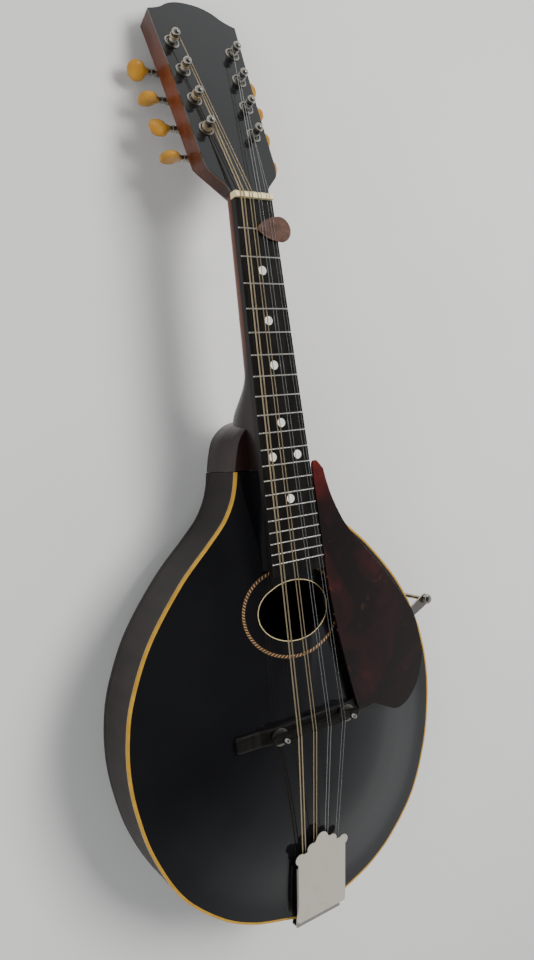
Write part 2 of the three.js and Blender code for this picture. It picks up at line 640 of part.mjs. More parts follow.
// Straight sides, then five overlapping lobes across the front.
function tailpieceCoverRoof(low, high) {
  const { halfWidth, back } = COVER;
  const sides = box(-halfWidth, halfWidth, back, COVER_EAR.y - 3, low, high);
  const shoulders = box(-COVER_EAR.x, COVER_EAR.x, back, COVER_EAR.y, low, high);
  const brow = box(-COVER_LOBE.x, COVER_LOBE.x, back, COVER_LOBE.y + 2, low, high);
  let roof = toSolid(sides).add(toSolid(shoulders)).add(toSolid(brow));
  for (const side of [-1, 1]) {
    for (const lobe of [COVER_EAR, COVER_LOBE]) {
      roof = roof.add(toSolid(rod(side * lobe.x, lobe.y, lobe.radius, low, high, 20)));
    }
  }
  return roof.add(toSolid(rod(0, COVER_TIP.y, COVER_TIP.radius, low, high, 20)));
}

function tailpieceCover() {
  const { halfWidth, roof, metal, skirt, back, wallEnd } = COVER;
  let solid = tailpieceCoverRoof(roof, roof + metal);
  for (const left of [-halfWidth, halfWidth - metal]) {
    const wall = box(left, left + metal, back, wallEnd, skirt, roof + 0.2);
    solid = solid.add(toSolid(wall));
  }
  return solid;
}

function stringSpread(index, pairSpacing) {
  const pair = Math.floor(index / 2) - 1.5;
  const inPair = (index % 2) - 0.5;
  return pair * pairSpacing + inPair * IN_PAIR;
}

addSolid(tailFrame, "tailpiece_frame", tailpieceFrame(), MATERIAL.nickel);
addSolid(tailFrame, "tailpiece_cover", tailpieceCover(), MATERIAL.nickel);

// ---------------------------------------------------------------- strings

function stringRoute(index) {
  const r = STRING_GAUGES[index] / 2;
  const bass = index < 4;
  const side = bass ? -1 : 1;
  const post = bass ? index : 7 - index;
  const [postX, postY] = postPlace(side, post);
  const hook = new THREE.Vector3(stringSpread(index, PAIR_AT_TAIL), TAILPIECE.hookRow + GAP, 3.4);
  const saddle = new THREE.Vector3(stringSpread(index, PAIR_AT_SADDLE), SADDLE.y, SADDLE.crest + GAP + r);
  const nutFront = new THREE.Vector3(stringSpread(index, PAIR_AT_NUT), NUT.from, NUT.top + GAP + r);
  const nutBack = nutFront.clone().setY(NUT.to);
  const peg = new THREE.Vector3(postX - side * (POST.radius + GAP + r), postY, STRING_ON_POST[post]);
  return [
    hook.applyMatrix4(tailFrame.matrix),
    saddle,
    nutFront.applyMatrix4(neckToBody),
    nutBack.applyMatrix4(neckToBody),
    peg.applyMatrix4(headToBody),
  ];
}

// The section stays upright, so each stretch is a straight six-sided wire.
function stringWire(index) {
  const r = STRING_GAUGES[index] / 2;
  const route = stringRoute(index);
  const section = [];
  for (let corner = 0; corner < 6; corner++) {
    section.push([r * Math.cos((corner * Math.PI) / 3), r * Math.sin((corner * Math.PI) / 3)]);
  }
  const last = route.length - 1;
  return swept(shapeOf(section), last, (x, z, share) => {
    const point = route[last - Math.round(share * last)];
    return [point.x + x, point.y, point.z + z];
  });
}

for (let index = 0; index < 8; index++) {
  const material = index < 4 ? MATERIAL.bronzeWound : MATERIAL.steel;
  addPiece(instrument, "string_" + (index + 1), stringWire(index), material);
}

// ---------------------------------------------------------------- pickguard, clamp and plectrum

function pickguard() {
  const shape = new THREE.Shape();
  shape.moveTo(20.6, -180);
  shape.quadraticCurveTo(20.6, -174.5, 24.5, -176);
  shape.splineThru([
    [29.5, -182], [31.5, -191.5], [35.5, -204.5], [44.5, -223], [58, -240], [77, -263], [94, -287.5],
    [101, -300], [105, -318], [106, -333], [99, -351], [88, -362.5], [76, -366], [64.5, -361],
    [52, -355.5], [41.5, -356],
  ].map(([x, y]) => new THREE.Vector2(x, y)));
  shape.lineTo(38, -344);
  shape.lineTo(29.5, -297);
  shape.lineTo(24, -252.5);
  const sheet = toSolid(plate(shape, GUARD.bottom, GUARD.top, 3));
  const pin = toSolid(rod(...GUARD.pin, GUARD.pinRadius, 0, GUARD.bottom + 0.5, 10)).subtract(underTop);
  return sheet.add(pin);
}

function addClamp() {
  const frame = new THREE.Group();
  frame.position.set(CLAMP.x, CLAMP.y, 0);
  frame.rotation.z = CLAMP.outward;
  instrument.add(frame);
  const { screwOut, screwRadius, bore } = CLAMP;
  const { halfWidth } = CLAMP_ARM;
  const strip = (from, low, high) => toSolid(box(from, screwOut, -halfWidth, halfWidth, low, high));
  const eye = (low, high) => toSolid(rod(screwOut, 0, halfWidth, low, high, 20));
  const opening = toSolid(rod(screwOut, 0, bore, -60, 30, 16));
  const armTop = GUARD.bottom - GAP;
  const armLow = armTop - CLAMP_ARM.thickness;
  const arm = strip(CLAMP_ARM.inner, armLow, armTop).add(eye(armLow, armTop));
  addSolid(frame, "clamp_arm", arm.subtract(opening), MATERIAL.nickel);
  const jawTop = -EDGE_DEPTH - GAP;
  const jawLow = jawTop - CLAMP_JAW.depth;
  const jaw = strip(CLAMP_JAW.lip, jawTop - CLAMP_JAW.thickness, jawTop)
    .add(strip(CLAMP_JAW.web, jawLow, jawTop))
    .add(eye(jawLow, jawTop));
  addSolid(frame, "clamp_jaw", jaw.subtract(opening), MATERIAL.nickel);
  const knobLow = armTop + GAP;
  const knobTop = knobLow + KNOB.height;
  const screwEnd = jawLow - 2;
  const screw = turned([
    [0, screwEnd], [screwRadius, screwEnd], [screwRadius, knobLow], [KNOB.radius - 0.3, knobLow],
    [KNOB.radius, knobLow + 0.4], [KNOB.radius, knobTop - 1], [KNOB.radius - 1, knobTop - 0.2], [0, knobTop],
  ], 16);
  addPiece(frame, "clamp_screw", screw.translate(screwOut, 0, 0), MATERIAL.nickel);
}

function plectrum() {
  const { tip, centre, radius, bottom, top } = PICK;
  const shape = new THREE.Shape();
  shape.moveTo(tip[0], tip[1] - 1);
  shape.quadraticCurveTo(tip[0] + 6, centre[1] - radius + 1, centre[0], centre[1] - radius);
  shape.absarc(centre[0], centre[1], radius, -Math.PI / 2, Math.PI / 2, false);
  shape.quadraticCurveTo(tip[0] + 6, centre[1] + radius - 1, tip[0], tip[1] + 1);
  return plate(shape, bottom, top, 10);
}

addSolid(instrument, "pickguard", pickguard(), MATERIAL.tortoise);
addClamp();
addPiece(neckFrame, "plectrum", plectrum(), MATERIAL.horn);

// The origin is the middle of the bounding box's base.
const bounds = new THREE.Box3().setFromObject(instrument, true);
const middle = bounds.getCenter(new THREE.Vector3());
instrument.position.set(-middle.x, -middle.y, -bounds.min.z);

export default instrument;
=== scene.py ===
"""Looks of the carved-top mandolin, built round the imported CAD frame.

Shapes are written in millimetres in one of four local frames and baked to metres in the row frame:
the body (z = 0 on the top edge of the sides, y = 0 at the nut), the neck (z = 0 on the fret tops),
the headstock (z = 0 on its face) and the tailpiece (y along its slope).
"""

import math

import bmesh
import bpy
import numpy as np
from mathutils import Matrix, Vector
from mathutils.geometry import tessellate_polygon


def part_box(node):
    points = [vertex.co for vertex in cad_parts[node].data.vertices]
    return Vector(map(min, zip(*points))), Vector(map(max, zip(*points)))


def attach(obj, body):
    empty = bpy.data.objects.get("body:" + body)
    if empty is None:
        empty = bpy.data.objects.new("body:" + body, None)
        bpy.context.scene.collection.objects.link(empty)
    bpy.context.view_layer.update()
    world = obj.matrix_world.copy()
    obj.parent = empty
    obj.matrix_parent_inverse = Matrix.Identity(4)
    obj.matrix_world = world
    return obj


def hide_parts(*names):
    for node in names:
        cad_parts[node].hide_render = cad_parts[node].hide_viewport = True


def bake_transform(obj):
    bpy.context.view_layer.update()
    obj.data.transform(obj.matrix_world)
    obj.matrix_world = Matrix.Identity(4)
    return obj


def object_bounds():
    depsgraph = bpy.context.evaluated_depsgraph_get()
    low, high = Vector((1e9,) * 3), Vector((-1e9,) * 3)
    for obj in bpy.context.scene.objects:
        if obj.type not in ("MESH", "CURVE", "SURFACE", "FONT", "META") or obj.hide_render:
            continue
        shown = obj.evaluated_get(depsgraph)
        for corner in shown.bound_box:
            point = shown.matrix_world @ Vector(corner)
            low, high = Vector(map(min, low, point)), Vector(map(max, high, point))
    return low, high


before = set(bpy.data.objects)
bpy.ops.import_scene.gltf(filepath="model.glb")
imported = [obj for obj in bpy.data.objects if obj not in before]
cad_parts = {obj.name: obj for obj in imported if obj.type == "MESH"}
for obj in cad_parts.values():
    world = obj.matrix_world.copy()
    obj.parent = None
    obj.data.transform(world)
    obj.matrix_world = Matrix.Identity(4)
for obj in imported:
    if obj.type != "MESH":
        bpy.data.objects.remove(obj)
CAD_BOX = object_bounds()

MM = 0.001
TAU = 2 * math.pi
BOTH_SIDES = (("bass", -1), ("treble", 1))

# ---------------------------------------------------------------- local frames, found from the CAD boxes

NECK_TILT = math.radians(2.53)
HEAD_TILT = math.radians(18)
TAIL_SLOPE = math.radians(8.5)
TAIL_Y = -500.0

NUT_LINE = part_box("rim")[0][1] - TAIL_Y * MM
TOP_EDGE_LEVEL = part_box("body_binding")[1][2]

BODY = Matrix.Translation((0, NUT_LINE, TOP_EDGE_LEVEL)) @ Matrix.Scale(MM, 4)
NECK = BODY @ Matrix.Translation((0, 0.5, 10.8)) @ Matrix.Rotation(-NECK_TILT, 4, "X")
HEAD = NECK @ Matrix.Translation((0, 4, -4)) @ Matrix.Rotation(-HEAD_TILT, 4, "X")
TAIL = BODY @ Matrix.Translation((0, TAIL_Y, 0)) @ Matrix.Rotation(TAIL_SLOPE, 4, "X")

# ---------------------------------------------------------------- dimensions, millimetres

HALF_OUTLINE = [
    (30, -178), (32, -188), (35.5, -198), (43, -210), (56, -223), (79, -245), (104, -277), (119, -308),
    (125, -331), (127, -356), (124.5, -382), (117, -412), (101, -445), (77, -470), (54, -484.5),
    (28, -493.5), (0, -500),
]
ARCH_CENTRE_Y = -370.0
EDGE_DEPTH = 41.7
TOP_INSET, TOP_THICKNESS, BACK_THICKNESS = 1.85, 4.2, 4.4
TOP_ARCH = [(0, 13.5), (0.2, 13.1), (0.4, 11.7), (0.55, 9.7), (0.68, 6.8), (0.8, 3.6), (0.9, 1.3), (1, 0)]
BACK_ARCH = [(0, 12), (0.25, 12), (0.45, 10.6), (0.62, 7.6), (0.78, 3.6), (0.93, 0.2), (1, 0)]
HOLE_Y, HOLE_RX, HOLE_RY = -276.5, 29.5, 21.5

SCALE_LENGTH = 352.4
BOARD_NUT, BOARD_END, BOARD_END_Y = 29.4, 42.5, -250.0
BOARD_FOOT = -6.1
NUT_FROM, NUT_TO = 0.2, 4.4
NECK_AT_NUT, NECK_SWELL, HEEL_DEPTH = 14.5, 2.7, 50.5
HEEL_START_Y, HEEL_RUN, JOINT_Y = -112, 34, -178.2
HEEL_NOSE = [(30, -178), (27.5, -167), (24, -157), (18, -150), (10, -145.5), (0, -144)]

HEAD_BACK, CORE_TOP, LINE_TOP = -15.5, -1.7, -1.2
HEAD_SIDE = [(14.9, 1.3), (15.2, 3), (17, 7), (22, 12.5), (26.6, 18), (28.4, 26), (31.2, 92), (34.8, 149.5)]
HEAD_SHOULDER, HEAD_TIP = (22.5, 155), (0, 162.4)
THROAT_CUTS = [((28.4, 26, -15.5), (0.682, -0.563, -0.467)), ((27.6, 24, -14.6), (0.80, -0.56, -0.22)),
               ((24.5, 24, -15.5), (0.46, -0.42, -0.78))]
DOTS = [("3", 3, 0), ("5", 5, 0), ("7", 7, 0), ("10", 10, 0), ("12_bass", 12, -10), ("12_treble", 12, 10),
        ("15", 15, 0)]

POST_X, POST_Y, POST_SPACING = 18.6, 50.4, 24.0
POST_SPLAY = math.radians(4.3)
POST_HOLE = 3.4
PLATE_LOW, PLATE_TOP = -17, -15.8
GEAR_MIDDLE, GEAR_TEETH, GEAR_RADIUS = -20.6, 14, 4.2
WORM_OFFSET = 6.85
LEAD = TAU * GEAR_RADIUS / GEAR_TEETH
BUTTON_TURNS = [102, -3, 98, 42, 15, 75, 50, 30]

GAUGES = [0.96, 0.96, 0.66, 0.66, 0.4, 0.4, 0.28, 0.28]
PAIR_AT_NUT, PAIR_AT_SADDLE, PAIR_AT_TAIL, IN_PAIR = 6.7, 12.4, 8.0, 2.4
STRING_ON_POST, STRING_TURNS = [3.8, 5.2, 5.6, 6.0], 3.4
HOOK_Y, HOOK_Z = 14.6, 3.6
FLANGE_HOLES = ((-8, -11), (8, -11), (0, -25))
SADDLE_Y, SADDLE_CREST = -354.6, 29.2
STUD_X, KNURLS = 28.0, 96
GUARD_LOW, GUARD_HIGH, GUARD_PIN = 16.2, 18.4, (62, -349)
CLAMP_X, CLAMP_Y, CLAMP_OUT, SCREW_OUT = 112.3, -294.5, math.radians(25.8), 4.6

# ---------------------------------------------------------------- curves and meshes


def catmull(points, samples):
    """A smooth curve through the points, sampled evenly by length."""
    p = np.array(points, float)
    p = np.vstack([p[0], p, p[-1]])
    fine = []
    for i in range(1, len(p) - 2):
        t = np.linspace(0, 1, 24, endpoint=False)[:, None]
        a, b, c, d = p[i - 1], p[i], p[i + 1], p[i + 2]
        v0, v1 = (c - a) / 2, (d - b) / 2
        fine.append((2 * b - 2 * c + v0 + v1) * t**3 + (-3 * b + 3 * c - 2 * v0 - v1) * t**2 + v0 * t + b)
    fine = np.vstack(fine + [p[-2][None]])
    return resample(fine, samples)


def resample(points, samples):
    points = np.array(points, float)
    length = np.concatenate([[0], np.cumsum(np.linalg.norm(np.diff(points, axis=0), axis=1))])
    at = np.linspace(0, length[-1], samples)
    return np.stack([np.interp(at, length, points[:, k]) for k in range(points.shape[1])], axis=1)


def smooth_profile(table, x):
    """A curve through (x, value) pairs whose slope never overshoots."""
    xs, ys = np.array(table, float).T
    slope = np.diff(ys) / np.diff(xs)
    tangent = np.concatenate([[0], (slope[:-1] + slope[1:]) / 2, [slope[-1]]])
    flat = np.concatenate([[False], slope[:-1] * slope[1:] <= 0, [False]])
    tangent[flat] = 0
    x = np.clip(x, xs[0], xs[-1])
    i = np.clip(np.searchsorted(xs, x, side="right") - 1, 0, len(xs) - 2)
    h = xs[i + 1] - xs[i]
    t = (x - xs[i]) / h
    return (
        (2 * t**3 - 3 * t**2 + 1) * ys[i] + (t**3 - 2 * t**2 + t) * h * tangent[i]
        + (-2 * t**3 + 3 * t**2) * ys[i + 1] + (t**3 - t**2) * h * tangent[i + 1]
    )


def mesh_piece(name, verts, faces, material, place=BODY, body="instrument", sharp=38, bevel=0.0, steps=2):
    """A piece baked to the row frame, which rides on a body and holds its material."""
    mesh = bpy.data.meshes.new(name)
    world = [place @ Vector(v) for v in verts]
    mesh.from_pydata(world, [], faces)
    mesh.validate()
    bm = bmesh.new()
    bm.from_mesh(mesh)
    bmesh.ops.remove_doubles(bm, verts=bm.verts, dist=1e-7)
    bmesh.ops.recalc_face_normals(bm, faces=bm.faces)
    bm.to_mesh(mesh)
    bm.free()
    mesh.shade_smooth()
    mesh.set_sharp_from_angle(angle=math.radians(sharp))
    piece = bpy.data.objects.new(name, mesh)
    bpy.context.scene.collection.objects.link(piece)
    mesh.materials.append(material)
    if bevel:
        edge = piece.modifiers.new("edge", "BEVEL")
        edge.width = bevel * MM
        edge.segments = steps
        edge.limit_method = "ANGLE"
        edge.angle_limit = math.radians(40)
        edge.harden_normals = True
    if body:
        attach(piece, body)
    return piece


def joined(*parts):
    """Several (verts, faces) as one."""
    verts, faces = [], []
    for v, f in parts:
        start = len(verts)
        verts += [tuple(map(float, p)) for p in v]
        faces += [tuple(i + start for i in face) for face in f]
    return verts, faces


def moved(part, matrix):
    verts, faces = part
    return [tuple(matrix @ Vector(v)) for v in verts], faces


def loft(rings, closed=True, caps=True):
    """Skin over rings of equal length; each ring is a closed loop if closed."""
    rings = [np.asarray(r, float) for r in rings]
    n = len(rings[0])
    verts = [tuple(v) for r in rings for v in r]
    faces = []
    for k in range(len(rings) - 1):
        for i in range(n if closed else n - 1):
            j = (i + 1) % n
            faces.append((k * n + i, k * n + j, (k + 1) * n + j, (k + 1) * n + i))
    if caps:
        faces.append(tuple(range(n - 1, -1, -1)))
        faces.append(tuple((len(rings) - 1) * n + i for i in range(n)))
    return verts, faces


def torus_loft(rings):
    """Skin over rings that come back to the first one."""
    verts, faces = loft(rings, caps=False)
    n, k = len(rings[0]), len(rings)
    for i in range(n):
        j = (i + 1) % n
        faces.append(((k - 1) * n + i, (k - 1) * n + j, j, i))
    return verts, faces


def plate(outer, low, high, holes=()):
    """A flat sheet between two heights, with holes through it."""
    loops = [np.asarray(loop, float) for loop in (outer, *holes)]
    triangles = tessellate_polygon([[Vector((x, y, 0)) for x, y in loop] for loop in loops])
    flat = np.vstack(loops)
    n = len(flat)
    verts = [(x, y, low) for x, y in flat] + [(x, y, high) for x, y in flat]
    faces = [tuple(t) for t in triangles] + [tuple(i + n for i in reversed(t)) for t in triangles]
    start = 0
    for loop in loops:
        m = len(loop)
        for i in range(m):
            a, b = start + i, start + (i + 1) % m
            faces.append((a, b, b + n, a + n))
        start += m
    return verts, faces


def lathe(profile, sides=32, centre=(0, 0)):
    """A turned solid about z; the profile is (radius, z)."""
    rings = []
    for radius, z in profile:
        a = np.arange(sides) * TAU / sides
        r = max(radius, 1e-4)
        rings.append(np.stack([centre[0] + r * np.cos(a), centre[1] + r * np.sin(a), np.full(sides, z)], 1))
    return loft(rings)


def washer(inner, outer, low, high, sides=32, centre=(0, 0), ease=0.15):
    """A turned ring with its outer edges eased."""
    profile = [(inner, low), (outer - ease, low), (outer, low + ease), (outer, high - ease),
               (outer - ease, high), (inner, high)]
    a = np.arange(sides) * TAU / sides
    return torus_loft([[(centre[0] + r * math.cos(t), centre[1] + r * math.sin(t), z) for r, z in profile]
                       for t in a])


def thread_profile(start, limit, root, pitch, crest=1.5):
    """The ridges and grooves of a thread from start up to limit, and where the last pitch ends."""
    points, z = [], start
    while z < limit:
        points += [(crest, z), (root, z + pitch / 2)]
        z += pitch
    return points, z


def tube(points, radius, sides=10, caps=True):
    """A round wire along the points, with no twist."""
    p = np.array(points, float)
    tangent = np.gradient(p, axis=0)
    tangent /= np.linalg.norm(tangent, axis=1)[:, None]
    side = np.cross(tangent[0], (0, 0, 1))
    if np.linalg.norm(side) < 1e-3:
        side = np.cross(tangent[0], (1, 0, 0))
    radii = np.broadcast_to(radius, len(p))
    rings = []
    for point, t, r in zip(p, tangent, radii):
        side = side - t * (side @ t)
        side = side / np.linalg.norm(side)
        up = np.cross(t, side)
        angles = np.arange(sides) * TAU / sides
        rings.append([point + r * (math.cos(a) * side + math.sin(a) * up) for a in angles])
    return loft(rings, caps=caps)


def box(x0, x1, y0, y1, z0, z1):
    return plate([(x0, y0), (x1, y0), (x1, y1), (x0, y1)], z0, z1)


def circle(x, y, radius, sides=28):
    return [(x + radius * math.cos(a), y + radius * math.sin(a)) for a in np.arange(sides) * TAU / sides]


def arc(x, y, radius, start, end, steps=8):
    a = np.radians(np.linspace(start, end, steps))
    return [(x + radius * math.cos(t), y + radius * math.sin(t)) for t in a]


def quadratic(a, b, c, steps=8):
    t = np.linspace(0, 1, steps)[:, None]
    a, b, c = map(np.array, (a, b, c))
    return [tuple(p) for p in (1 - t) ** 2 * a + 2 * t * (1 - t) * b + t**2 * c]


def left_of(line, guard=0.0):
    """The unit normals on the left of a line; a guard keeps repeated points from dividing by zero."""
    along = np.gradient(line, axis=0)
    along /= np.linalg.norm(along, axis=1)[:, None] + guard
    return np.stack([-along[:, 1], along[:, 0]], 1)


def mirrored(half):
    """A half outline that ends on the middle line, with its other half."""
    return half + [(-x, y) for x, y in half[:-1]][::-1]


ACROSS = Matrix.Rotation(math.pi / 2, 4, "Y")  # turns a piece about z into one about x

# ---------------------------------------------------------------- body outline and arching


def side_curve(samples=220):
    bass = [(-x, y) for x, y in HALF_OUTLINE[:-1]]
    return catmull(bass + HALF_OUTLINE[::-1], samples)


SIDE = side_curve()


def inset(distance, line=SIDE):
    return line + distance * left_of(line)


def closed_at_neck(line, across=10):
    """The side line with its open neck end closed by a straight run."""
    t = np.linspace(0, 1, across + 2)[1:-1, None]
    return np.vstack([line, line[-1] * (1 - t) + line[0] * t])


def arch_height(xy, edge, profile):
    """Height of the carved plate over its edge."""
    centre = np.array([0, ARCH_CENTRE_Y])
    rim = edge - centre
    angle = np.unwrap(np.arctan2(rim[:, 1], rim[:, 0]))
    radius = np.linalg.norm(rim, axis=1)
    away = xy - centre
    at = np.arctan2(away[:, 1], away[:, 0])
    at = angle[0] + np.mod(at - angle[0], TAU)
    limit = np.interp(at, np.append(angle, angle[0] + TAU), np.append(radius, radius[0]))
    share = np.linalg.norm(away, axis=1) / limit
    return smooth_profile(profile, share)


TOP_EDGE = closed_at_neck(inset(TOP_INSET))
BACK_EDGE = closed_at_neck(inset(0))


def top_z(x, y):
    """Height of the top's surface at one place."""
    return float(arch_height(np.array([[x, y]], float), TOP_EDGE, TOP_ARCH)[0])


def oval(outward, count):
    """The sound hole's outline, moved outward."""
    a = np.arange(count) * TAU / count
    return np.stack([(HOLE_RX + outward) * np.cos(a), HOLE_Y + (HOLE_RY + outward) * np.sin(a)], 1)


# ---------------------------------------------------------------- materials


class Material:
    """A Principled material with short ways to add procedural nodes."""

    def __init__(self, name, color, roughness=0.4, metallic=0.0, **sockets):
        self.material = bpy.data.materials.new(name)
        self.material.use_nodes = True
        self.tree = self.material.node_tree
        self.shader = self.tree.nodes["Principled BSDF"]
        self.shader.inputs["Base Color"].default_value = (*color, 1)
        self.shader.inputs["Roughness"].default_value = roughness
        self.shader.inputs["Metallic"].default_value = metallic
        for key, value in sockets.items():
            self.shader.inputs[key.replace("_", " ")].default_value = value
        self.heights = []

    def node(self, kind, inputs=(), **settings):
        node = self.tree.nodes.new(kind)
        for key, value in settings.items():
            setattr(node, key, value)
        for key, value in dict(inputs).items():
            if hasattr(value, "is_output"):
                self.tree.links.new(value, node.inputs[key])
            else:
                node.inputs[key].default_value = value
        return node

    def place(self, scale=(1, 1, 1), turn=(0, 0, 0), source="Object"):
        base = self.node("ShaderNodeTexCoord").outputs[source]
        return self.node("ShaderNodeMapping", {"Vector": base, "Scale": scale, "Rotation": turn}).outputs[0]

    def noise(self, scale, detail=4, rough=0.55, vector=None, distortion=0.0):
        values = {"Vector": vector or self.place(), "Scale": scale, "Detail": detail, "Roughness": rough,
                  "Distortion": distortion}
        return self.node("ShaderNodeTexNoise", values).outputs["Fac"]

    def grain(self, scale, detail, rough, distortion=0.0):
        """Noise with its own scale along each axis."""
        return self.noise(1, detail, rough, self.place(scale), distortion)

    def bands(self, scale, direction="X", distortion=0.0, detail=2):
        values = {"Vector": self.place(scale), "Scale": 1, "Distortion": distortion, "Detail": detail}
        settings = {"wave_type": "BANDS", "bands_direction": direction}
        return self.node("ShaderNodeTexWave", values, **settings).outputs["Fac"]

    def ramp(self, value, stops, smooth=False):
        node = self.node("ShaderNodeValToRGB", {"Fac": value})
        ramp = node.color_ramp
        ramp.interpolation = "EASE" if smooth else "LINEAR"
        while len(ramp.elements) < len(stops):
            ramp.elements.new(0.5)
        for element, (at, color) in zip(ramp.elements, stops):
            element.position = at
            element.color = (*color, 1) if isinstance(color, tuple) else (color, color, color, 1)
        return node.outputs["Color"]

    def mix(self, share, a, b, mode="MIX"):
        node = self.node("ShaderNodeMix", data_type="RGBA", blend_type=mode)
        for index, value in ((0, share), (6, a), (7, b)):
            if hasattr(value, "is_output"):
                self.tree.links.new(value, node.inputs[index])
            else:
                node.inputs[index].default_value = (*value, 1) if isinstance(value, tuple) else value
        return node.outputs[2]

    def math(self, operation, a, b=0.0):
        node = self.node("ShaderNodeMath", {0: a, 1: b}, operation=operation)
        return node.outputs[0]

    def attribute(self, name):
        return self.node("ShaderNodeAttribute", attribute_name=name).outputs["Fac"]

    def color(self, value):
        self.tree.links.new(value, self.shader.inputs["Base Color"])

    def roughness(self, value, low, high):
        spread = self.node("ShaderNodeMapRange", {"Value": value, "To Min": low, "To Max": high})
        self.tree.links.new(spread.outputs[0], self.shader.inputs["Roughness"])

    def bump(self, height, strength=0.3, distance=0.1):
        """Adds a bump layer; distance is in millimetres."""
        values = {"Height": height, "Strength": strength, "Distance": distance * MM}
        node = self.node("ShaderNodeBump", values)
        if self.heights:
            self.tree.links.new(self.heights[-1], node.inputs["Normal"])
        self.heights.append(node.outputs[0])
        self.tree.links.new(node.outputs[0], self.shader.inputs["Normal"])


def black_lacquer(name, scratch=1.0):
    """Aged gloss black, faintly uneven, with fine scratches."""
    m = Material(name, (0.004, 0.004, 0.005), 0.1, Coat_Weight=0.6, Coat_Roughness=0.04)
    cloud = m.noise(9, 3)
    m.color(m.ramp(cloud, [(0.3, (0.0035, 0.0035, 0.0045)), (0.8, (0.009, 0.009, 0.011))]))
    grain = m.grain((900, 45, 900), 3, 0.6)
    m.bump(m.noise(160, 2), 0.05, 0.3)
    m.bump(grain, 0.04 * scratch, 0.06)
    smear = m.noise(38, 5, 0.65)
    m.roughness(smear, 0.06, 0.2)
    return m.material


def side_stain():
    m = Material("side_stain", (0.02, 0.013, 0.01), 0.42, Specular_IOR_Level=0.22)
    figure = m.grain((14, 14, 420), 4, 0.6, 0.6)
    flame = m.grain((95, 95, 9), 2, 0.5)
    base = m.ramp(figure, [(0.25, (0.008, 0.006, 0.005)), (0.75, (0.019, 0.013, 0.011))])
    m.color(m.mix(0.35, base, m.ramp(flame, [(0.3, (0.005, 0.004, 0.004)), (0.7, (0.025, 0.016, 0.013))])))
    m.bump(figure, 0.12, 0.1)
    m.roughness(m.noise(30, 4), 0.36, 0.52)
    return m.material


def mahogany():
    """Red-brown neck wood; the attribute shade darkens it towards black."""
    m = Material("mahogany", (0.16, 0.045, 0.02), 0.34, Coat_Weight=0.2, Coat_Roughness=0.12,
                 Specular_IOR_Level=0.28)
    grain = m.grain((210, 16, 210), 5, 0.62, 0.4)
    pores = m.grain((1500, 90, 1500), 2, 0.5)
    wood = m.ramp(grain, [(0.25, (0.085, 0.016, 0.005)), (0.55, (0.165, 0.034, 0.009)),
                          (0.8, (0.25, 0.058, 0.014))])
    wood = m.mix(m.ramp(pores, [(0.62, 0.0), (0.72, 0.55)]), wood, (0.04, 0.012, 0.006))
    m.color(m.mix(m.attribute("shade"), wood, (0.012, 0.007, 0.006)))
    m.bump(pores, 0.08, 0.06)
    m.roughness(grain, 0.3, 0.46)
    return m.material


def plain_wood(name, dark, light, scale=(170, 12, 170), roughness=(0.5, 0.7)):
    m = Material(name, light, roughness[0])
    grain = m.grain(scale, 5, 0.6, 0.3)
    rings = m.bands((520, 10, 40), distortion=2.0)
    fine, broad = m.ramp(grain, [(0.3, dark), (0.7, light)]), m.ramp(rings, [(0.1, dark), (0.5, light)])
    m.color(m.mix(0.45, fine, broad))
    m.bump(grain, 0.25, 0.12)
    m.roughness(grain, *roughness)
    return m.material


def ebony():
    m = Material("ebony", (0.012, 0.010, 0.009), 0.4, Specular_IOR_Level=0.28)
    streak = m.grain((340, 22, 340), 4, 0.6)
    pores = m.grain((2600, 210, 2600), 2, 0.5)
    m.color(m.ramp(streak, [(0.35, (0.004, 0.004, 0.004)), (0.7, (0.012, 0.010, 0.009)),
                            (0.88, (0.026, 0.019, 0.015))]))
    m.bump(pores, 0.2, 0.08)
    m.roughness(streak, 0.32, 0.52)
    return m.material


def ivoroid(name, light, dark, lines=900.0, gloss=0.22):
    """Grained celluloid, yellowed with age."""
    m = Material(name, light, gloss, Coat_Weight=0.25, Coat_Roughness=0.07, Specular_IOR_Level=0.3,
                 Subsurface_Weight=0.12, Subsurface_Scale=0.002)
    m.shader.inputs["Subsurface Radius"].default_value = (1.0, 0.55, 0.2)
    lamina = m.bands((lines, lines * 0.7, 60), distortion=1.5, detail=3)
    cloud = m.noise(120, 4)
    body = m.ramp(cloud, [(0.3, dark), (0.72, light)])
    paler = tuple(min(1, c * 1.2 + 0.008) for c in light)
    m.color(m.mix(m.ramp(lamina, [(0.35, 0.0), (0.9, 0.32)]), body, paler))
    m.bump(m.noise(700, 2), 0.04, 0.05)
    m.roughness(cloud, gloss - 0.06, gloss + 0.12)
    return m.material


def bone():
    m = Material("bone", (0.74, 0.66, 0.44), 0.3, Subsurface_Weight=0.1, Subsurface_Scale=0.001)
    fibre = m.grain((260, 1700, 1700), 3, 0.6)
    m.color(m.ramp(fibre, [(0.3, (0.72, 0.56, 0.27)), (0.6, (0.92, 0.80, 0.47)), (0.85, (0.97, 0.88, 0.60))]))
    m.bump(fibre, 0.1, 0.04)
    m.roughness(fibre, 0.24, 0.42)
    return m.material


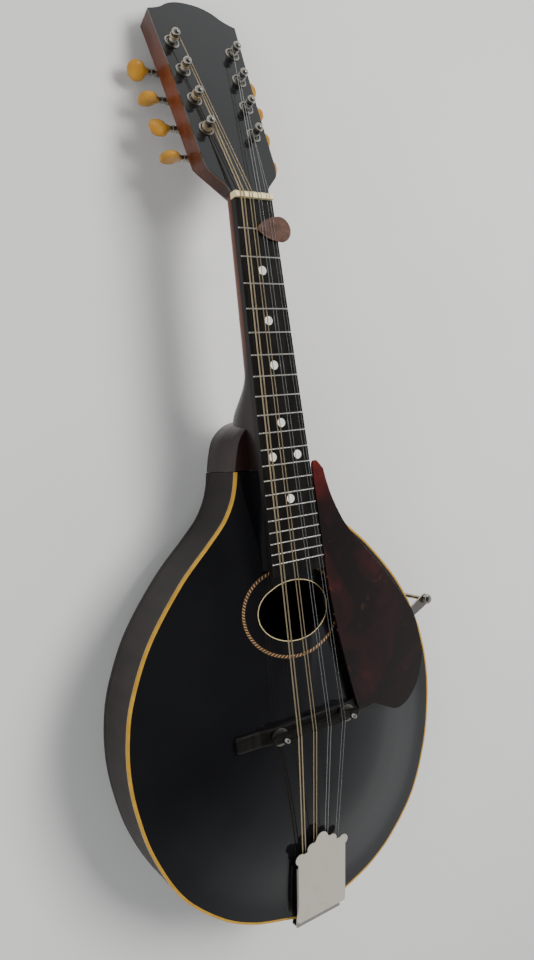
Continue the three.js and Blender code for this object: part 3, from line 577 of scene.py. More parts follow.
def rope_inlay():
    """Slanted cream, brown and black blocks round the ring, from its UV map."""
    m = Material("rope_inlay", (0.4, 0.25, 0.12), 0.16, Coat_Weight=0.6, Coat_Roughness=0.05)
    uv = m.node("ShaderNodeSeparateXYZ", {"Vector": m.place(source="UV")})
    slanted = m.math("ADD", uv.outputs["X"], m.math("MULTIPLY", uv.outputs["Y"], 0.9))
    tooth = m.math("FRACT", slanted)
    blocks = m.ramp(tooth, [
        (0.0, (0.02, 0.012, 0.008)), (0.16, (0.06, 0.03, 0.016)), (0.24, (0.36, 0.22, 0.11)),
        (0.46, (0.50, 0.34, 0.18)), (0.54, (0.10, 0.045, 0.022)), (0.9, (0.05, 0.022, 0.012)),
        (1.0, (0.02, 0.012, 0.008)),
    ])
    edge = m.math("ABSOLUTE", m.math("SUBTRACT", uv.outputs["Y"], 0.5))
    lined = m.mix(m.ramp(edge, [(0.26, 0.0), (0.29, 1.0)]), blocks, (0.12, 0.07, 0.035))
    m.color(m.mix(m.ramp(edge, [(0.33, 0.0), (0.36, 1.0)]), lined, (0.006, 0.006, 0.006)))
    m.bump(tooth, 0.06, 0.05)
    m.roughness(m.noise(200, 3), 0.12, 0.28)
    return m.material


def metal(name, color, low, high, tarnish=(0.32, 0.26, 0.18), brushed=None, metallic=1.0):
    """Plated or drawn metal, clouded with tarnish; brushed is the scale of its brush marks."""
    m = Material(name, color, low, metallic)
    cloud = m.noise(90, 5, 0.6)
    m.color(m.mix(m.ramp(cloud, [(0.52, 0.0), (0.8, 0.35)]), color, tarnish))
    if brushed:
        lines = m.grain(brushed, 3, 0.7)
        m.bump(lines, 0.35, 0.03)
        m.roughness(m.mix(0.5, cloud, lines), low, high)
    else:
        m.bump(m.noise(900, 2), 0.05, 0.02)
        m.roughness(cloud, low, high)
    return m.material


def wound_bronze():
    m = Material("wound_bronze", (0.85, 0.68, 0.42), 0.3, 1.0)
    turns = m.bands((0, 900, 500), "Y")
    # The colour follows the same bands as the bump: painted shade in the grooves between the turns and a
    # painted highlight on their crests.
    m.color(m.mix(turns, (0.50, 0.36, 0.20), (0.94, 0.80, 0.56)))
    m.bump(turns, 0.6, 0.06)
    m.roughness(m.noise(300, 2), 0.25, 0.42)
    return m.material


GUARD_TIP = (BODY @ Vector((0, -180, 0))).y  # where the pickguard's tip is, in the row frame


def tortoise():
    m = Material("tortoise", (0.05, 0.01, 0.005), 0.1, Coat_Weight=0.7, Coat_Roughness=0.05)
    swirl = m.noise(20, 4, 0.58, distortion=0.9)
    fleck = m.noise(70, 5, 0.66, distortion=0.5)
    body = m.ramp(swirl, [(0.42, (0.006, 0.003, 0.003)), (0.58, (0.014, 0.004, 0.004)),
                          (0.70, (0.034, 0.006, 0.007)), (0.88, (0.075, 0.011, 0.010))], True)
    along = m.node("ShaderNodeSeparateXYZ", {"Vector": m.place()}).outputs["Y"]
    tip = m.node("ShaderNodeMapRange", {"Value": along, "From Min": GUARD_TIP - 0.026, "From Max": GUARD_TIP})
    glow = m.ramp(m.noise(60, 3), [(0.3, (0.035, 0.004, 0.005)), (0.7, (0.17, 0.014, 0.010))])
    body = m.mix(m.math("MULTIPLY", tip.outputs[0], 0.85), body, glow)
    m.color(m.mix(m.ramp(fleck, [(0.62, 0.0), (0.80, 0.5)]), body, (0.13, 0.045, 0.02)))
    m.bump(m.noise(45, 2), 0.04, 0.3)
    m.roughness(m.noise(60, 4), 0.07, 0.2)
    return m.material


def pearl():
    m = Material("pearl", (0.78, 0.79, 0.74), 0.16, Coat_Weight=0.8, Coat_Roughness=0.03)
    layer = m.noise(260, 3, 0.6, distortion=2.0)
    m.color(m.ramp(layer, [(0.3, (0.62, 0.70, 0.66)), (0.5, (0.84, 0.83, 0.76)), (0.7, (0.80, 0.70, 0.72))]))
    m.roughness(layer, 0.1, 0.3)
    m.bump(layer, 0.05, 0.05)
    return m.material


def horn_brown():
    m = Material("horn_brown", (0.16, 0.08, 0.05), 0.36, Specular_IOR_Level=0.3)
    cloud = m.noise(150, 4, 0.6, distortion=0.8)
    m.color(m.ramp(cloud, [(0.3, (0.045, 0.022, 0.016)), (0.55, (0.10, 0.052, 0.038)),
                           (0.8, (0.17, 0.10, 0.075))]))
    m.bump(m.noise(900, 2), 0.12, 0.04)
    m.roughness(cloud, 0.26, 0.5)
    return m.material


def pale_floor():
    m = Material("pale_floor", (0.72, 0.72, 0.71), 0.6)
    m.color(m.ramp(m.noise(3, 3), [(0.3, (0.70, 0.70, 0.695)), (0.7, (0.75, 0.75, 0.745))]))
    m.bump(m.noise(160, 3), 0.08, 0.4)
    return m.material


LACQUER = black_lacquer("black_lacquer")
HEAD_LACQUER = black_lacquer("head_lacquer", 0.6)
SIDES = side_stain()
MAHOGANY = mahogany()
MAPLE_LINE = plain_wood("maple_line", (0.09, 0.035, 0.015), (0.16, 0.07, 0.03))
SPRUCE = plain_wood("spruce", (0.42, 0.22, 0.08), (0.66, 0.42, 0.18))
BLOCK_WOOD = plain_wood("block_wood", (0.16, 0.07, 0.03), (0.28, 0.13, 0.06))
GOLDEN_EDGE = plain_wood("golden_edge", (0.42, 0.24, 0.03), (0.68, 0.44, 0.08), (170, 170, 12), (0.3, 0.45))
EBONY = ebony()
BINDING = ivoroid("binding_ivoroid", (0.50, 0.285, 0.032), (0.37, 0.19, 0.018))
BUTTONS = ivoroid("button_ivoroid", (0.47, 0.245, 0.034), (0.33, 0.15, 0.016), 1300.0, 0.24)
RIM_LINE = ivoroid("hole_ivoroid", (0.62, 0.50, 0.28), (0.45, 0.34, 0.17))
BONE = bone()
ROPE = rope_inlay()
NICKEL = metal("nickel", (0.50, 0.47, 0.43), 0.14, 0.34)
NICKEL_BRUSHED = metal("nickel_brushed", (0.80, 0.75, 0.66), 0.34, 0.52, (0.58, 0.52, 0.42),
                       (1400, 40, 1400), 0.7)
NICKEL_DARK = metal("nickel_dark", (0.30, 0.28, 0.25), 0.25, 0.5, (0.10, 0.08, 0.05))
FRET_METAL = metal("fret_metal", (0.78, 0.76, 0.71), 0.18, 0.34, (0.5, 0.45, 0.34))
BRONZE = wound_bronze()
STEEL = metal("string_steel", (0.58, 0.58, 0.58), 0.2, 0.36, (0.30, 0.27, 0.22))
TORTOISE = tortoise()
PEARL = pearl()
HORN = horn_brown()

# ---------------------------------------------------------------- camera, light and floor

CAMERA_AT = Vector((-273.6, -152.1, 424.8))  # body frame, millimetres
CAMERA_FORWARD = Vector((0.53255, -0.0676, -0.84369))
CAMERA_UP = Vector((0.12044, 0.99271, -0.00352))
FOCAL_SHARE = 734.1 / 960  # focal length over the picture's height
# the world's strength by how high a direction points: dark overhead, pale low down
SKY_RISE = {"From Min": 0.88, "From Max": 0.42, "To Min": 0.05, "To Max": 0.66}
FLOOR_HALF, FLOOR_GAP = 6.0, 0.0005  # metres


def add_camera():
    camera = bpy.data.cameras.new("camera")
    camera.lens = camera.sensor_width * FOCAL_SHARE
    camera.clip_start = 0.01
    back = -CAMERA_FORWARD.normalized()
    right = CAMERA_UP.cross(back).normalized()
    basis = Matrix((right, back.cross(right), back)).transposed()
    rig = bpy.data.objects.new("camera", camera)
    rig.matrix_world = Matrix.Translation(BODY @ CAMERA_AT) @ basis.to_4x4()
    bpy.context.scene.collection.objects.link(rig)
    bpy.context.scene.camera = rig


def add_light(name, place, aim, size, power, color=(1, 1, 1), glossy=True):
    data = bpy.data.lights.new(name, "AREA")
    data.shape = "RECTANGLE"
    data.size = data.size_y = size
    data.energy = power
    data.color = color
    lamp = bpy.data.objects.new(name, data)
    lamp.location = place
    lamp.rotation_euler = (Vector(aim) - Vector(place)).to_track_quat("-Z", "Y").to_euler()
    lamp.visible_glossy = glossy
    bpy.context.scene.collection.objects.link(lamp)


def add_surroundings():
    """Soft lights, a world that is darkest overhead, and a pale floor under the lowest point."""
    add_light("key", (0.75, 0.35, 1.5), (0, -0.05, 0), 0.8, 32, (1.0, 0.985, 0.96), glossy=False)
    add_light("fill", (-1.3, -0.3, 1.1), (0, -0.1, 0), 1.2, 11, (0.97, 0.985, 1.0), glossy=False)
    add_light("spark", (0.8, 0.95, 1.25), (0, 0, 0), 0.3, 2.2)
    world = bpy.data.worlds.new("studio")
    world.use_nodes = True
    tree = world.node_tree
    background = tree.nodes["Background"]
    direction = tree.nodes.new("ShaderNodeTexCoord").outputs["Generated"]
    parts = tree.nodes.new("ShaderNodeSeparateXYZ")
    tree.links.new(direction, parts.inputs[0])
    rise = tree.nodes.new("ShaderNodeMapRange")
    for key, value in SKY_RISE.items():
        rise.inputs[key].default_value = value
    tree.links.new(parts.outputs["Z"], rise.inputs["Value"])
    tree.links.new(rise.outputs[0], background.inputs["Strength"])
    background.inputs["Color"].default_value = (0.97, 0.99, 0.98, 1)
    bpy.context.scene.world = world
    floor = bpy.data.meshes.new("floor")
    low = CAD_BOX[0][2] - FLOOR_GAP
    corners = [(x * FLOOR_HALF, y * FLOOR_HALF, low) for x, y in ((-1, -1), (1, -1), (1, 1), (-1, 1))]
    floor.from_pydata(corners, [], [(0, 1, 2, 3)])
    floor.materials.append(pale_floor())
    ground = bpy.data.objects.new("floor", floor)
    bpy.context.scene.collection.objects.link(ground)


# ---------------------------------------------------------------- body pieces


def relaxed(grid, times):
    """Smooths heights over a (ring, column) grid, with the first and last rings held."""
    z = grid.copy()
    for _ in range(times):
        ring = (z[:-2] + z[2:]) / 2
        column = (np.roll(z, 1, axis=1) + np.roll(z, -1, axis=1))[1:-1] / 2
        z[1:-1] = 0.5 * z[1:-1] + 0.25 * ring + 0.25 * column
    return z


def soundboard():
    """The arched top, a sheet from the sound hole out to the side, under the hole's rings."""
    hidden = 1.6  # how far it reaches in behind the rings
    edge = closed_at_neck(inset(TOP_INSET, side_curve(200)), 12)
    angle = np.arctan2(edge[:, 1] - HOLE_Y, edge[:, 0])
    inner = np.stack([(HOLE_RX - hidden) * np.cos(angle), HOLE_Y + (HOLE_RY - hidden) * np.sin(angle)], 1)
    rings = [inner * (1 - t) + edge * t for t in np.linspace(0, 1, 52) ** 1.15]
    z = [arch_height(r, TOP_EDGE, TOP_ARCH) for r in rings]
    upper = [np.column_stack([r, h]) for r, h in zip(rings, z)]
    lower = [np.column_stack([r, np.maximum(h - TOP_THICKNESS, -4.5)]) for r, h in zip(rings, z)]
    piece = mesh_piece("carved_top", *torus_loft(upper + lower[::-1]), LACQUER)
    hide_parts("soundboard")


def ring_strip(name, outer, inner, lift, material, depth=0.5):
    """An oval ring that follows the arching, lift above the top."""
    rings = []
    for outward in np.linspace(outer, inner, 5):
        xy = oval(outward, 240)
        rings.append(np.column_stack([xy, arch_height(xy, TOP_EDGE, TOP_ARCH) + lift]))
    low = [np.column_stack([r[:, :2], r[:, 2] - depth]) for r in (rings[-1], rings[0])]
    return mesh_piece(name, *torus_loft(rings + low), material)


def map_round_hole(piece, outer, inner, blocks):
    """A UV map with one block of inlay per unit of U, and V across the ring."""
    layer = piece.data.uv_layers.new(name="around")
    centre = BODY @ Vector((0, HOLE_Y, 0))
    wide, tall = HOLE_RX + outer, HOLE_RY + outer
    for polygon in piece.data.polygons:
        corners = []
        for loop in polygon.loop_indices:
            v = piece.data.vertices[piece.data.loops[loop].vertex_index].co - centre
            x, y = v.x / MM, v.y / MM
            a = math.atan2(y / HOLE_RY, x / HOLE_RX)
            r = math.hypot(x / wide, y / tall)
            r0 = math.hypot((HOLE_RX + inner) / wide * math.cos(a), (HOLE_RY + inner) / tall * math.sin(a))
            corners.append((loop, a, (r - r0) / (1 - r0)))
        first = corners[0][1]
        for loop, a, share in corners:
            a = first + (a - first + math.pi) % TAU - math.pi
            layer.data[loop].uv = (a / TAU * blocks, share)


def back_plate():
    edge = closed_at_neck(side_curve(200), 12)
    centre = np.array([0, ARCH_CENTRE_Y])
    rings = [centre + (edge - centre) * t for t in (0.02, *np.linspace(0.06, 1, 40))]
    z = relaxed(np.array([arch_height(r, BACK_EDGE, BACK_ARCH) for r in rings]), 14)
    outside = [np.column_stack([r, -EDGE_DEPTH - h]) for r, h in zip(rings, z)]
    inside = [np.column_stack([r, -EDGE_DEPTH - h + BACK_THICKNESS]) for r, h in zip(rings, z)]
    piece = mesh_piece("carved_back", *loft(outside + inside[::-1]), SIDES, bevel=0.7)
    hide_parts("back")


def side_strip(name, section, material, node):
    """A strip along the sides; the section is (inset, z), and it stays open at the neck."""
    line = side_curve(260)
    columns = [np.column_stack([inset(d, line), np.full(len(line), z)]) for d, z in section]
    piece = mesh_piece(name, *loft(list(np.stack(columns, axis=1))), material)
    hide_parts(node)


def build_body():
    soundboard()
    back_plate()
    wall = [(0.1, -2.2), (0.1, -37.2), (4, -37.2), (4, -4.6), (1.8, -4.6), (1.8, -2.2)]
    side_strip("bent_sides", wall, SIDES, "rim")
    binding = [(0.0, -2.2), (0.0, -0.8), (0.2, -0.25), (0.7, 0.03), (1.8, 0.06), (1.8, -2.2)]
    side_strip("edge_binding", binding, BINDING, "body_binding")
    rosette = ring_strip("rope_rosette", 11.2, 8.0, 0.06, ROPE)
    map_round_hole(rosette, 11.2, 8.0, 92)
    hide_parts("rosette")
    ring_strip("hole_lip", 0.1, -0.75, 0.04, LACQUER, depth=1.2)
    line = ring_strip("hole_line", -0.7, -1.3, 0.08, RIM_LINE, depth=1.0)
    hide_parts("soundhole_binding")
    ring_strip("hole_wall", -0.2, -1.28, -0.8, GOLDEN_EDGE, depth=3.6)


# ---------------------------------------------------------------- neck and headstock


def board_half(y):
    """Half the fretboard's width at a place along the neck."""
    return BOARD_NUT / 2 + (BOARD_END - BOARD_NUT) / 2 * y / BOARD_END_Y


def set_shade(piece, rule):
    """Stores how far the stain is darkened at each vertex, by its place in the body frame."""
    layer = piece.data.attributes.new("shade", "FLOAT", "POINT")
    back = BODY.inverted()
    for vertex, value in zip(piece.data.vertices, layer.data):
        value.value = min(1.0, max(0.0, rule(back @ vertex.co)))


def neck_shade(p):
    """The stain goes from red-brown to black where the neck nears the heel."""
    return max((-88 - p.y) / 26, 0.32)


def neck_shaft():
    """A round-backed neck that swells into the heel and stops at the joint with the body."""
    stations = np.concatenate([np.linspace(5, -106, 24), np.linspace(-109, -177.7, 34)])
    half_turn = np.radians(np.linspace(180, 360, 25))
    rings = []
    for y in stations:
        slim = NECK_AT_NUT + NECK_SWELL * max(-y, 0) / -HEEL_START_Y
        t = min(max((HEEL_START_Y - y) / HEEL_RUN, 0), 1)
        depth = slim + (HEEL_DEPTH - slim) * t * t * (3 - 2 * t)
        half = board_half(y) - 0.05
        power = 0.86 + 0.14 * t
        x = half * np.sign(np.cos(half_turn)) * np.abs(np.cos(half_turn)) ** power
        z = BOARD_FOOT + depth * np.sin(half_turn)
        joint = (JOINT_Y - z * math.sin(NECK_TILT)) / math.cos(NECK_TILT)
        rings.append(np.column_stack([x, np.maximum(y, joint), z]))
    piece = mesh_piece("neck_shaft", *loft(rings), MAHOGANY, NECK)
    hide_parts("neck")
    set_shade(piece, neck_shade)


def heel():
    nose = catmull(mirrored([(x, y + 0.3) for x, y in HEEL_NOSE]), 60)
    levels = [(-EDGE_DEPTH, 1.4), (-41.3, 0.5), (-40.6, 0.0), (-25, 0.0), (-10, 0.0), (-0.9, 0.0),
              (-0.2, 0.3), (0.0, 0.9)]
    centre = np.array([0, -172.0])
    rings = []
    for z, pull in levels:
        away = nose - centre
        distance = np.linalg.norm(away, axis=1)[:, None]
        ring = centre + away * (1 - pull / distance)
        ring[:, 1] = np.where(np.abs(nose[:, 1] - nose[0, 1]) < 0.05, nose[0, 1], ring[:, 1])
        rings.append(np.column_stack([ring, np.full(len(ring), z)]))
    piece = mesh_piece("heel_block", *loft(rings), MAHOGANY)
    set_shade(piece, lambda p: 0.96)


def board_riser():
    """The neck's tongue under the fretboard, standing on the arched top."""
    rings = []
    for y in np.linspace(-175, -246, 24):
        half = board_half(y) - 1
        body_y = y * math.cos(NECK_TILT) + 0.5
        xs = np.linspace(-half, half, 9)
        inverse = NECK.inverted() @ BODY
        low = [tuple(inverse @ Vector((x, body_y, top_z(x, body_y) - 0.3))) for x in xs]
        high = [(half, y, BOARD_FOOT), (-half, y, BOARD_FOOT)]
        rings.append([(x, y, p[2]) for x, p in zip(xs, low)] + high)
    mesh_piece("board_riser", *loft(rings), LACQUER, NECK)


def post_place(side, i):
    """Where a tuner post stands on the headstock, counted from the nut."""
    along = POST_SPACING * i
    return side * (POST_X + along * math.sin(POST_SPLAY)), POST_Y + along * math.cos(POST_SPLAY)


def head_outline(pull=0.0):
    """The headstock's outline; pull moves it inward."""
    right = [tuple(p) for p in catmull(HEAD_SIDE[:6], 26)] + HEAD_SIDE[6:]
    right += quadratic(HEAD_SIDE[-1], (27, 151.6), HEAD_SHOULDER)[1:]
    full = mirrored(right + quadratic(HEAD_SHOULDER, (14.5, 162.4), HEAD_TIP)[1:])
    if not pull:
        return full
    line = np.array(full + full[:1])
    return [tuple(p) for p in (line + pull * left_of(line, 1e-9))[:-1]]


def cut(piece, point, normal):
    """Takes off what lies beyond a plane of the head frame, and closes the cut."""
    bm = bmesh.new()
    bm.from_mesh(piece.data)
    everything = bm.verts[:] + bm.edges[:] + bm.faces[:]
    at, facing = HEAD @ Vector(point), (HEAD.to_3x3() @ Vector(normal)).normalized()
    bmesh.ops.bisect_plane(bm, geom=everything, plane_co=at, plane_no=facing, clear_outer=True)
    bmesh.ops.holes_fill(bm, edges=[edge for edge in bm.edges if edge.is_boundary])
    bm.to_mesh(piece.data)
    bm.free()


def headstock():
    """The core with its throat carved off behind, a light line, the black veneer and the bushings."""
    posts = [(label, i, post_place(side, i)) for label, side in BOTH_SIDES for i in range(4)]
    holes = [circle(*at, POST_HOLE) for _, _, at in posts]
    block = plate(head_outline(), HEAD_BACK, CORE_TOP, holes)
    core = mesh_piece("headstock_core", *block, MAHOGANY, HEAD, bevel=0.9, steps=3)
    for point, normal in THROAT_CUTS:
        for side in (-1, 1):
            cut(core, (side * point[0], *point[1:]), (side * normal[0], *normal[1:]))
    head_back = HEAD.inverted() @ BODY

    def burst(p):
        s = (head_back @ p).y
        return max((60 - s) / 62, (s - 95) / 75, 0.06)

    split_long_edges(core, 7)
    set_shade(core, burst)
    mesh_piece("veneer_line", *plate(head_outline(0.05), CORE_TOP, LINE_TOP, holes), MAPLE_LINE, HEAD)
    sheet = plate(head_outline(), LINE_TOP, 0, holes)
    face = mesh_piece("head_veneer", *sheet, HEAD_LACQUER, HEAD, bevel=0.35)
    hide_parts("headstock_veneer")
    for label, i, at in posts:
        ring = washer(4.3, 5.5, -0.05, 0.75, 48, at, 0.35)
        sleeve = washer(3.0, 3.38, -6.0, 0.2, 36, at, 0.1)
        mesh_piece(f"bushing_{label}_{i + 1}", *joined(ring, sleeve), NICKEL, HEAD)


def split_long_edges(piece, longest):
    """Adds vertices so that a per-vertex shade can vary along the piece."""
    bm = bmesh.new()
    bm.from_mesh(piece.data)
    for _ in range(5):
        long_edges = [e for e in bm.edges if e.calc_length() > longest * MM]
        if not long_edges:
            break
        bmesh.ops.subdivide_edges(bm, edges=long_edges, cuts=1)
    bm.to_mesh(piece.data)
    bm.free()


def fretboard():
    nut_half, end_half = board_half(0.1), board_half(BOARD_END_Y)
    board = [(-nut_half, 0.1), (nut_half, 0.1), (end_half, BOARD_END_Y), (-end_half, BOARD_END_Y)]
    piece = mesh_piece("ebony_board", *plate(board, -6, -1), EBONY, NECK, bevel=0.25)
    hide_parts("fretboard")
    frets = [SCALE_LENGTH * (1 - 2 ** (-n / 12)) for n in range(21)]
    parts = []
    for y in frets[1:]:
        half = board_half(-y) - 0.15
        rings = []
        for x, squeeze in ((-half, 0.35), (-half + 0.5, 1), (half - 0.5, 1), (half, 0.35)):
            ring = [(x, -y + 0.6 * math.cos(a), -1.05 + 1.05 * squeeze * math.sin(a))
                    for a in np.radians(np.linspace(0, 180, 9))]
            rings.append(ring)
        parts.append(loft(rings))
    mesh_piece("fret_wires", *joined(*parts), FRET_METAL, NECK)
    for label, n, x in DOTS:
        y = -(frets[n] + frets[n - 1]) / 2
        dot = lathe([(0, -1.3), (3.0, -1.3), (3.0, -0.97), (0, -0.95)], 32, (x, y))
        mesh_piece("fret_dot_" + label, *dot, PEARL, NECK)


def nut():
    """A bone bar with a slot for each string and eased ends."""
    half = BOARD_NUT / 2
    rings = []
    for x in np.linspace(-half, half, 121):
        slotted = any(abs(x - spread(k, PAIR_AT_NUT)) < gauge / 2 + 0.1 for k, gauge in enumerate(GAUGES))
        top = 1.55 - (0.55 if slotted else 0.0)
        end = 0.35 * max(0.0, (abs(x) - (half - 0.6)) / 0.6)
        rings.append([(x, NUT_FROM, -6), (x, NUT_FROM, top - 0.2 - end), (x, NUT_FROM + 0.5, top - end),
                      (x, NUT_TO - 1.2, top - 0.25 - end), (x, NUT_TO, top - 1.4 - end), (x, NUT_TO, -6)])
    piece = mesh_piece("bone_nut", *loft(rings), BONE, NECK)
    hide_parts("nut")


def build_neck():
    neck_shaft()
    heel()
    board_riser()
    headstock()
    fretboard()
    nut()


# ---------------------------------------------------------------- tuners


def row_frame(side):
    """A row of tuners: y runs along its posts, and x points to its buttons."""
    turn = Matrix.Rotation(-side * POST_SPLAY, 4, "Z")
    mirror = Matrix.Diagonal((side, 1, 1, 1))
    return HEAD @ Matrix.Translation((side * POST_X, POST_Y, 0)) @ turn @ mirror


def tuner_plate(label, place):
    """The plate behind a row, with two ears for each worm and its screws."""
    run = 3 * POST_SPACING
    outline = arc(-0.5, -13, 8, 180, 360, 14) + [(7.5, run + 8)]
    outline += arc(-0.5, run + 8, 8, 0, 180, 14)[1:] + [(-8.5, -13)]
    holes = [circle(0, i * POST_SPACING, 3.3, 24) for i in range(4)]
    parts = [plate(outline, PLATE_LOW, PLATE_TOP, holes)]
    bend = np.radians(np.linspace(5, 175, 12))
    for i in range(4):
        axis = i * POST_SPACING - WORM_OFFSET
        arch = [(axis - 3.1, -17.1), (axis + 3.1, -17.1), (axis + 3.1, -20.8)]
        arch += [(axis + 3.0 * math.cos(a), -20.7 - 2.9 * math.sin(a)) for a in bend] + [(axis - 3.1, -20.8)]
        for x in (-6.0, 4.6):
            verts, faces = plate(arch, x, x + 1.4, [circle(axis, GEAR_MIDDLE, 2.1, 20)])
            parts.append(([(z, a, b) for a, b, z in verts], faces))
    piece = mesh_piece("plate_" + label, *joined(*parts), NICKEL, place, bevel=0.18)
    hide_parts("tuner_plate_" + label)
    screws = []
    for i in range(5):
        y = i * POST_SPACING - 15.2 if i < 4 else run + 11.5
        dome = [(0, -17.9), (0.9, -17.85), (1.7, -17.5), (1.9, -17.1), (1.9, -16.9), (0, -16.9)]
        screws.append(lathe(dome, 20, (-0.5, y)))
    mesh_piece("plate_screws_" + label, *joined(*screws), NICKEL_DARK, place)


def worm_wheel():
    pitch = TAU / GEAR_TEETH
    flank = [(3.55, -0.27), (4.15, -0.19), (4.62, -0.11), (4.68, 0), (4.62, 0.11), (4.15, 0.19), (3.55, 0.27)]
    points = []
    for tooth in range(GEAR_TEETH):
        middle = -math.pi / 2 + (tooth + 0.5) * pitch
        for radius, share in flank:
            angle = middle + share * pitch
            points.append((radius * math.cos(angle), radius * math.sin(angle)))
    return plate(points, GEAR_MIDDLE - 1.7, GEAR_MIDDLE + 1.7)


def tuner_post():
    """A waisted post with a ball on top, and the screw that holds its worm wheel."""
    screw = [(0, -23.4), (1.2, -23.35), (2.0, -23.0), (2.2, -22.6), (2.2, -22.2), (0, -22.2)]
    stem = [(0, -18.95), (2.85, -18.95), (2.85, 2.2), (2.75, 2.6), (2.55, 3.1), (2.5, 4.8), (2.5, 6.2),
            (2.7, 6.7), (3.0, 6.95), (2.3, 7.25), (2.3, 7.5)]
    ball = [(3.2 * math.cos(a), 8.1 + 2.4 * math.sin(a)) for a in np.radians(np.linspace(-35, 88, 14))]
    return joined(lathe(screw, 28), lathe(stem + ball + [(0, 10.55)], 36))


def worm_shaft():
    """The worm's thread, the journal at its inner end and the shaft out to the button."""
    half = 2.6
    rings = []
    angles = np.radians([0, 22, 38, 56, 76, 100, 130, 160, 180, 200, 230, 260, 284, 304, 322, 338])
    for x in np.linspace(-half, half, 90):
        fade = min(1.0, (half - abs(x)) / 0.5)
        ring = []
        for a in angles:
            off = min(a, TAU - a) / math.radians(76)
            rise = max(0.0, min(1.0, 2.0 - 2.0 * off)) * fade
            r = 2.05 + 1.08 * rise
            turn = a + TAU * x / LEAD
            ring.append((x, r * math.cos(turn), r * math.sin(turn)))
        rings.append(ring)
    journal = [(0, -8.3), (1.5, -8.3), (1.85, -8.0), (1.85, -2.5), (0, -2.5)]
    shaft = [(0, 2.5), (1.85, 2.5), (1.85, 6.2), (2.6, 6.4), (2.6, 7.2), (1.9, 7.5), (1.75, 9.6), (2.2, 10.0),
             (2.2, 10.8), (1.8, 11.2), (1.8, 13.2), (1.3, 13.3), (1.3, 18), (0, 18)]
    return loft(rings), moved(lathe(journal, 20), ACROSS), moved(lathe(shaft, 24), ACROSS)


def tuner_button():
    """A flattened oval that swells from a short collar."""
    sections = [(13.5, 2.1, 2.1), (14.1, 2.35, 2.3), (15.0, 2.5, 2.25), (15.7, 3.3, 2.35), (16.5, 4.8, 2.6),
                (18.0, 6.1, 2.95), (20.0, 6.75, 3.1), (22.4, 6.9, 3.15), (24.6, 6.5, 3.05), (26.4, 5.4, 2.75),
                (27.6, 3.9, 2.2), (28.4, 2.2, 1.35), (28.65, 0.5, 0.3)]
    x, wide, thick = np.array(sections).T
    fine = np.interp(np.linspace(0, 1, 40), np.linspace(0, 1, len(x)), x)
    turn = [(math.cos(v), math.sin(v)) for v in np.arange(36) * TAU / 36]
    rings = []
    for s in fine:
        w, t = np.interp(s, x, wide), np.interp(s, x, thick)
        rings.append([(s, w * math.copysign(abs(c) ** 0.95, c), t * math.copysign(abs(d) ** 0.8, d))
                      for c, d in turn])
    return loft(rings)


def build_tuners():
    wheel, post = worm_wheel(), tuner_post()
    thread, inner, outer = worm_shaft()
    button = tuner_button()
    for label, side in BOTH_SIDES:
        place = row_frame(side)
        tuner_plate(label, place)
        for i in range(4):
            number = i + 1 if side < 0 else 8 - i
            up = place @ Matrix.Translation((0, i * POST_SPACING, 0))
            stem = mesh_piece(f"string_post_{number}", *post, NICKEL, up, f"post_{number}", sharp=50)
            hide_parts(f"tuner_post_{number}")
            mesh_piece(f"worm_wheel_{number}", *wheel, NICKEL_DARK, up, f"post_{number}", bevel=0.12)
            key = f"tuner_key_{number}"
            along = up @ Matrix.Translation((0, -WORM_OFFSET, GEAR_MIDDLE))
            worm = mesh_piece(f"worm_{number}", *joined(thread, inner), NICKEL, along, key)
            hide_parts(f"worm_shaft_{number}")
            mesh_piece(f"key_shaft_{number}", *outer, NICKEL_DARK, along, key)
            turned = along @ Matrix.Rotation(math.radians(BUTTON_TURNS[number - 1]), 4, "X")
            knob = mesh_piece(f"ivoroid_button_{number}", *button, BUTTONS, turned, key, sharp=60)
            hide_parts(f"tuner_button_{number}")


# ---------------------------------------------------------------- bridge, tailpiece


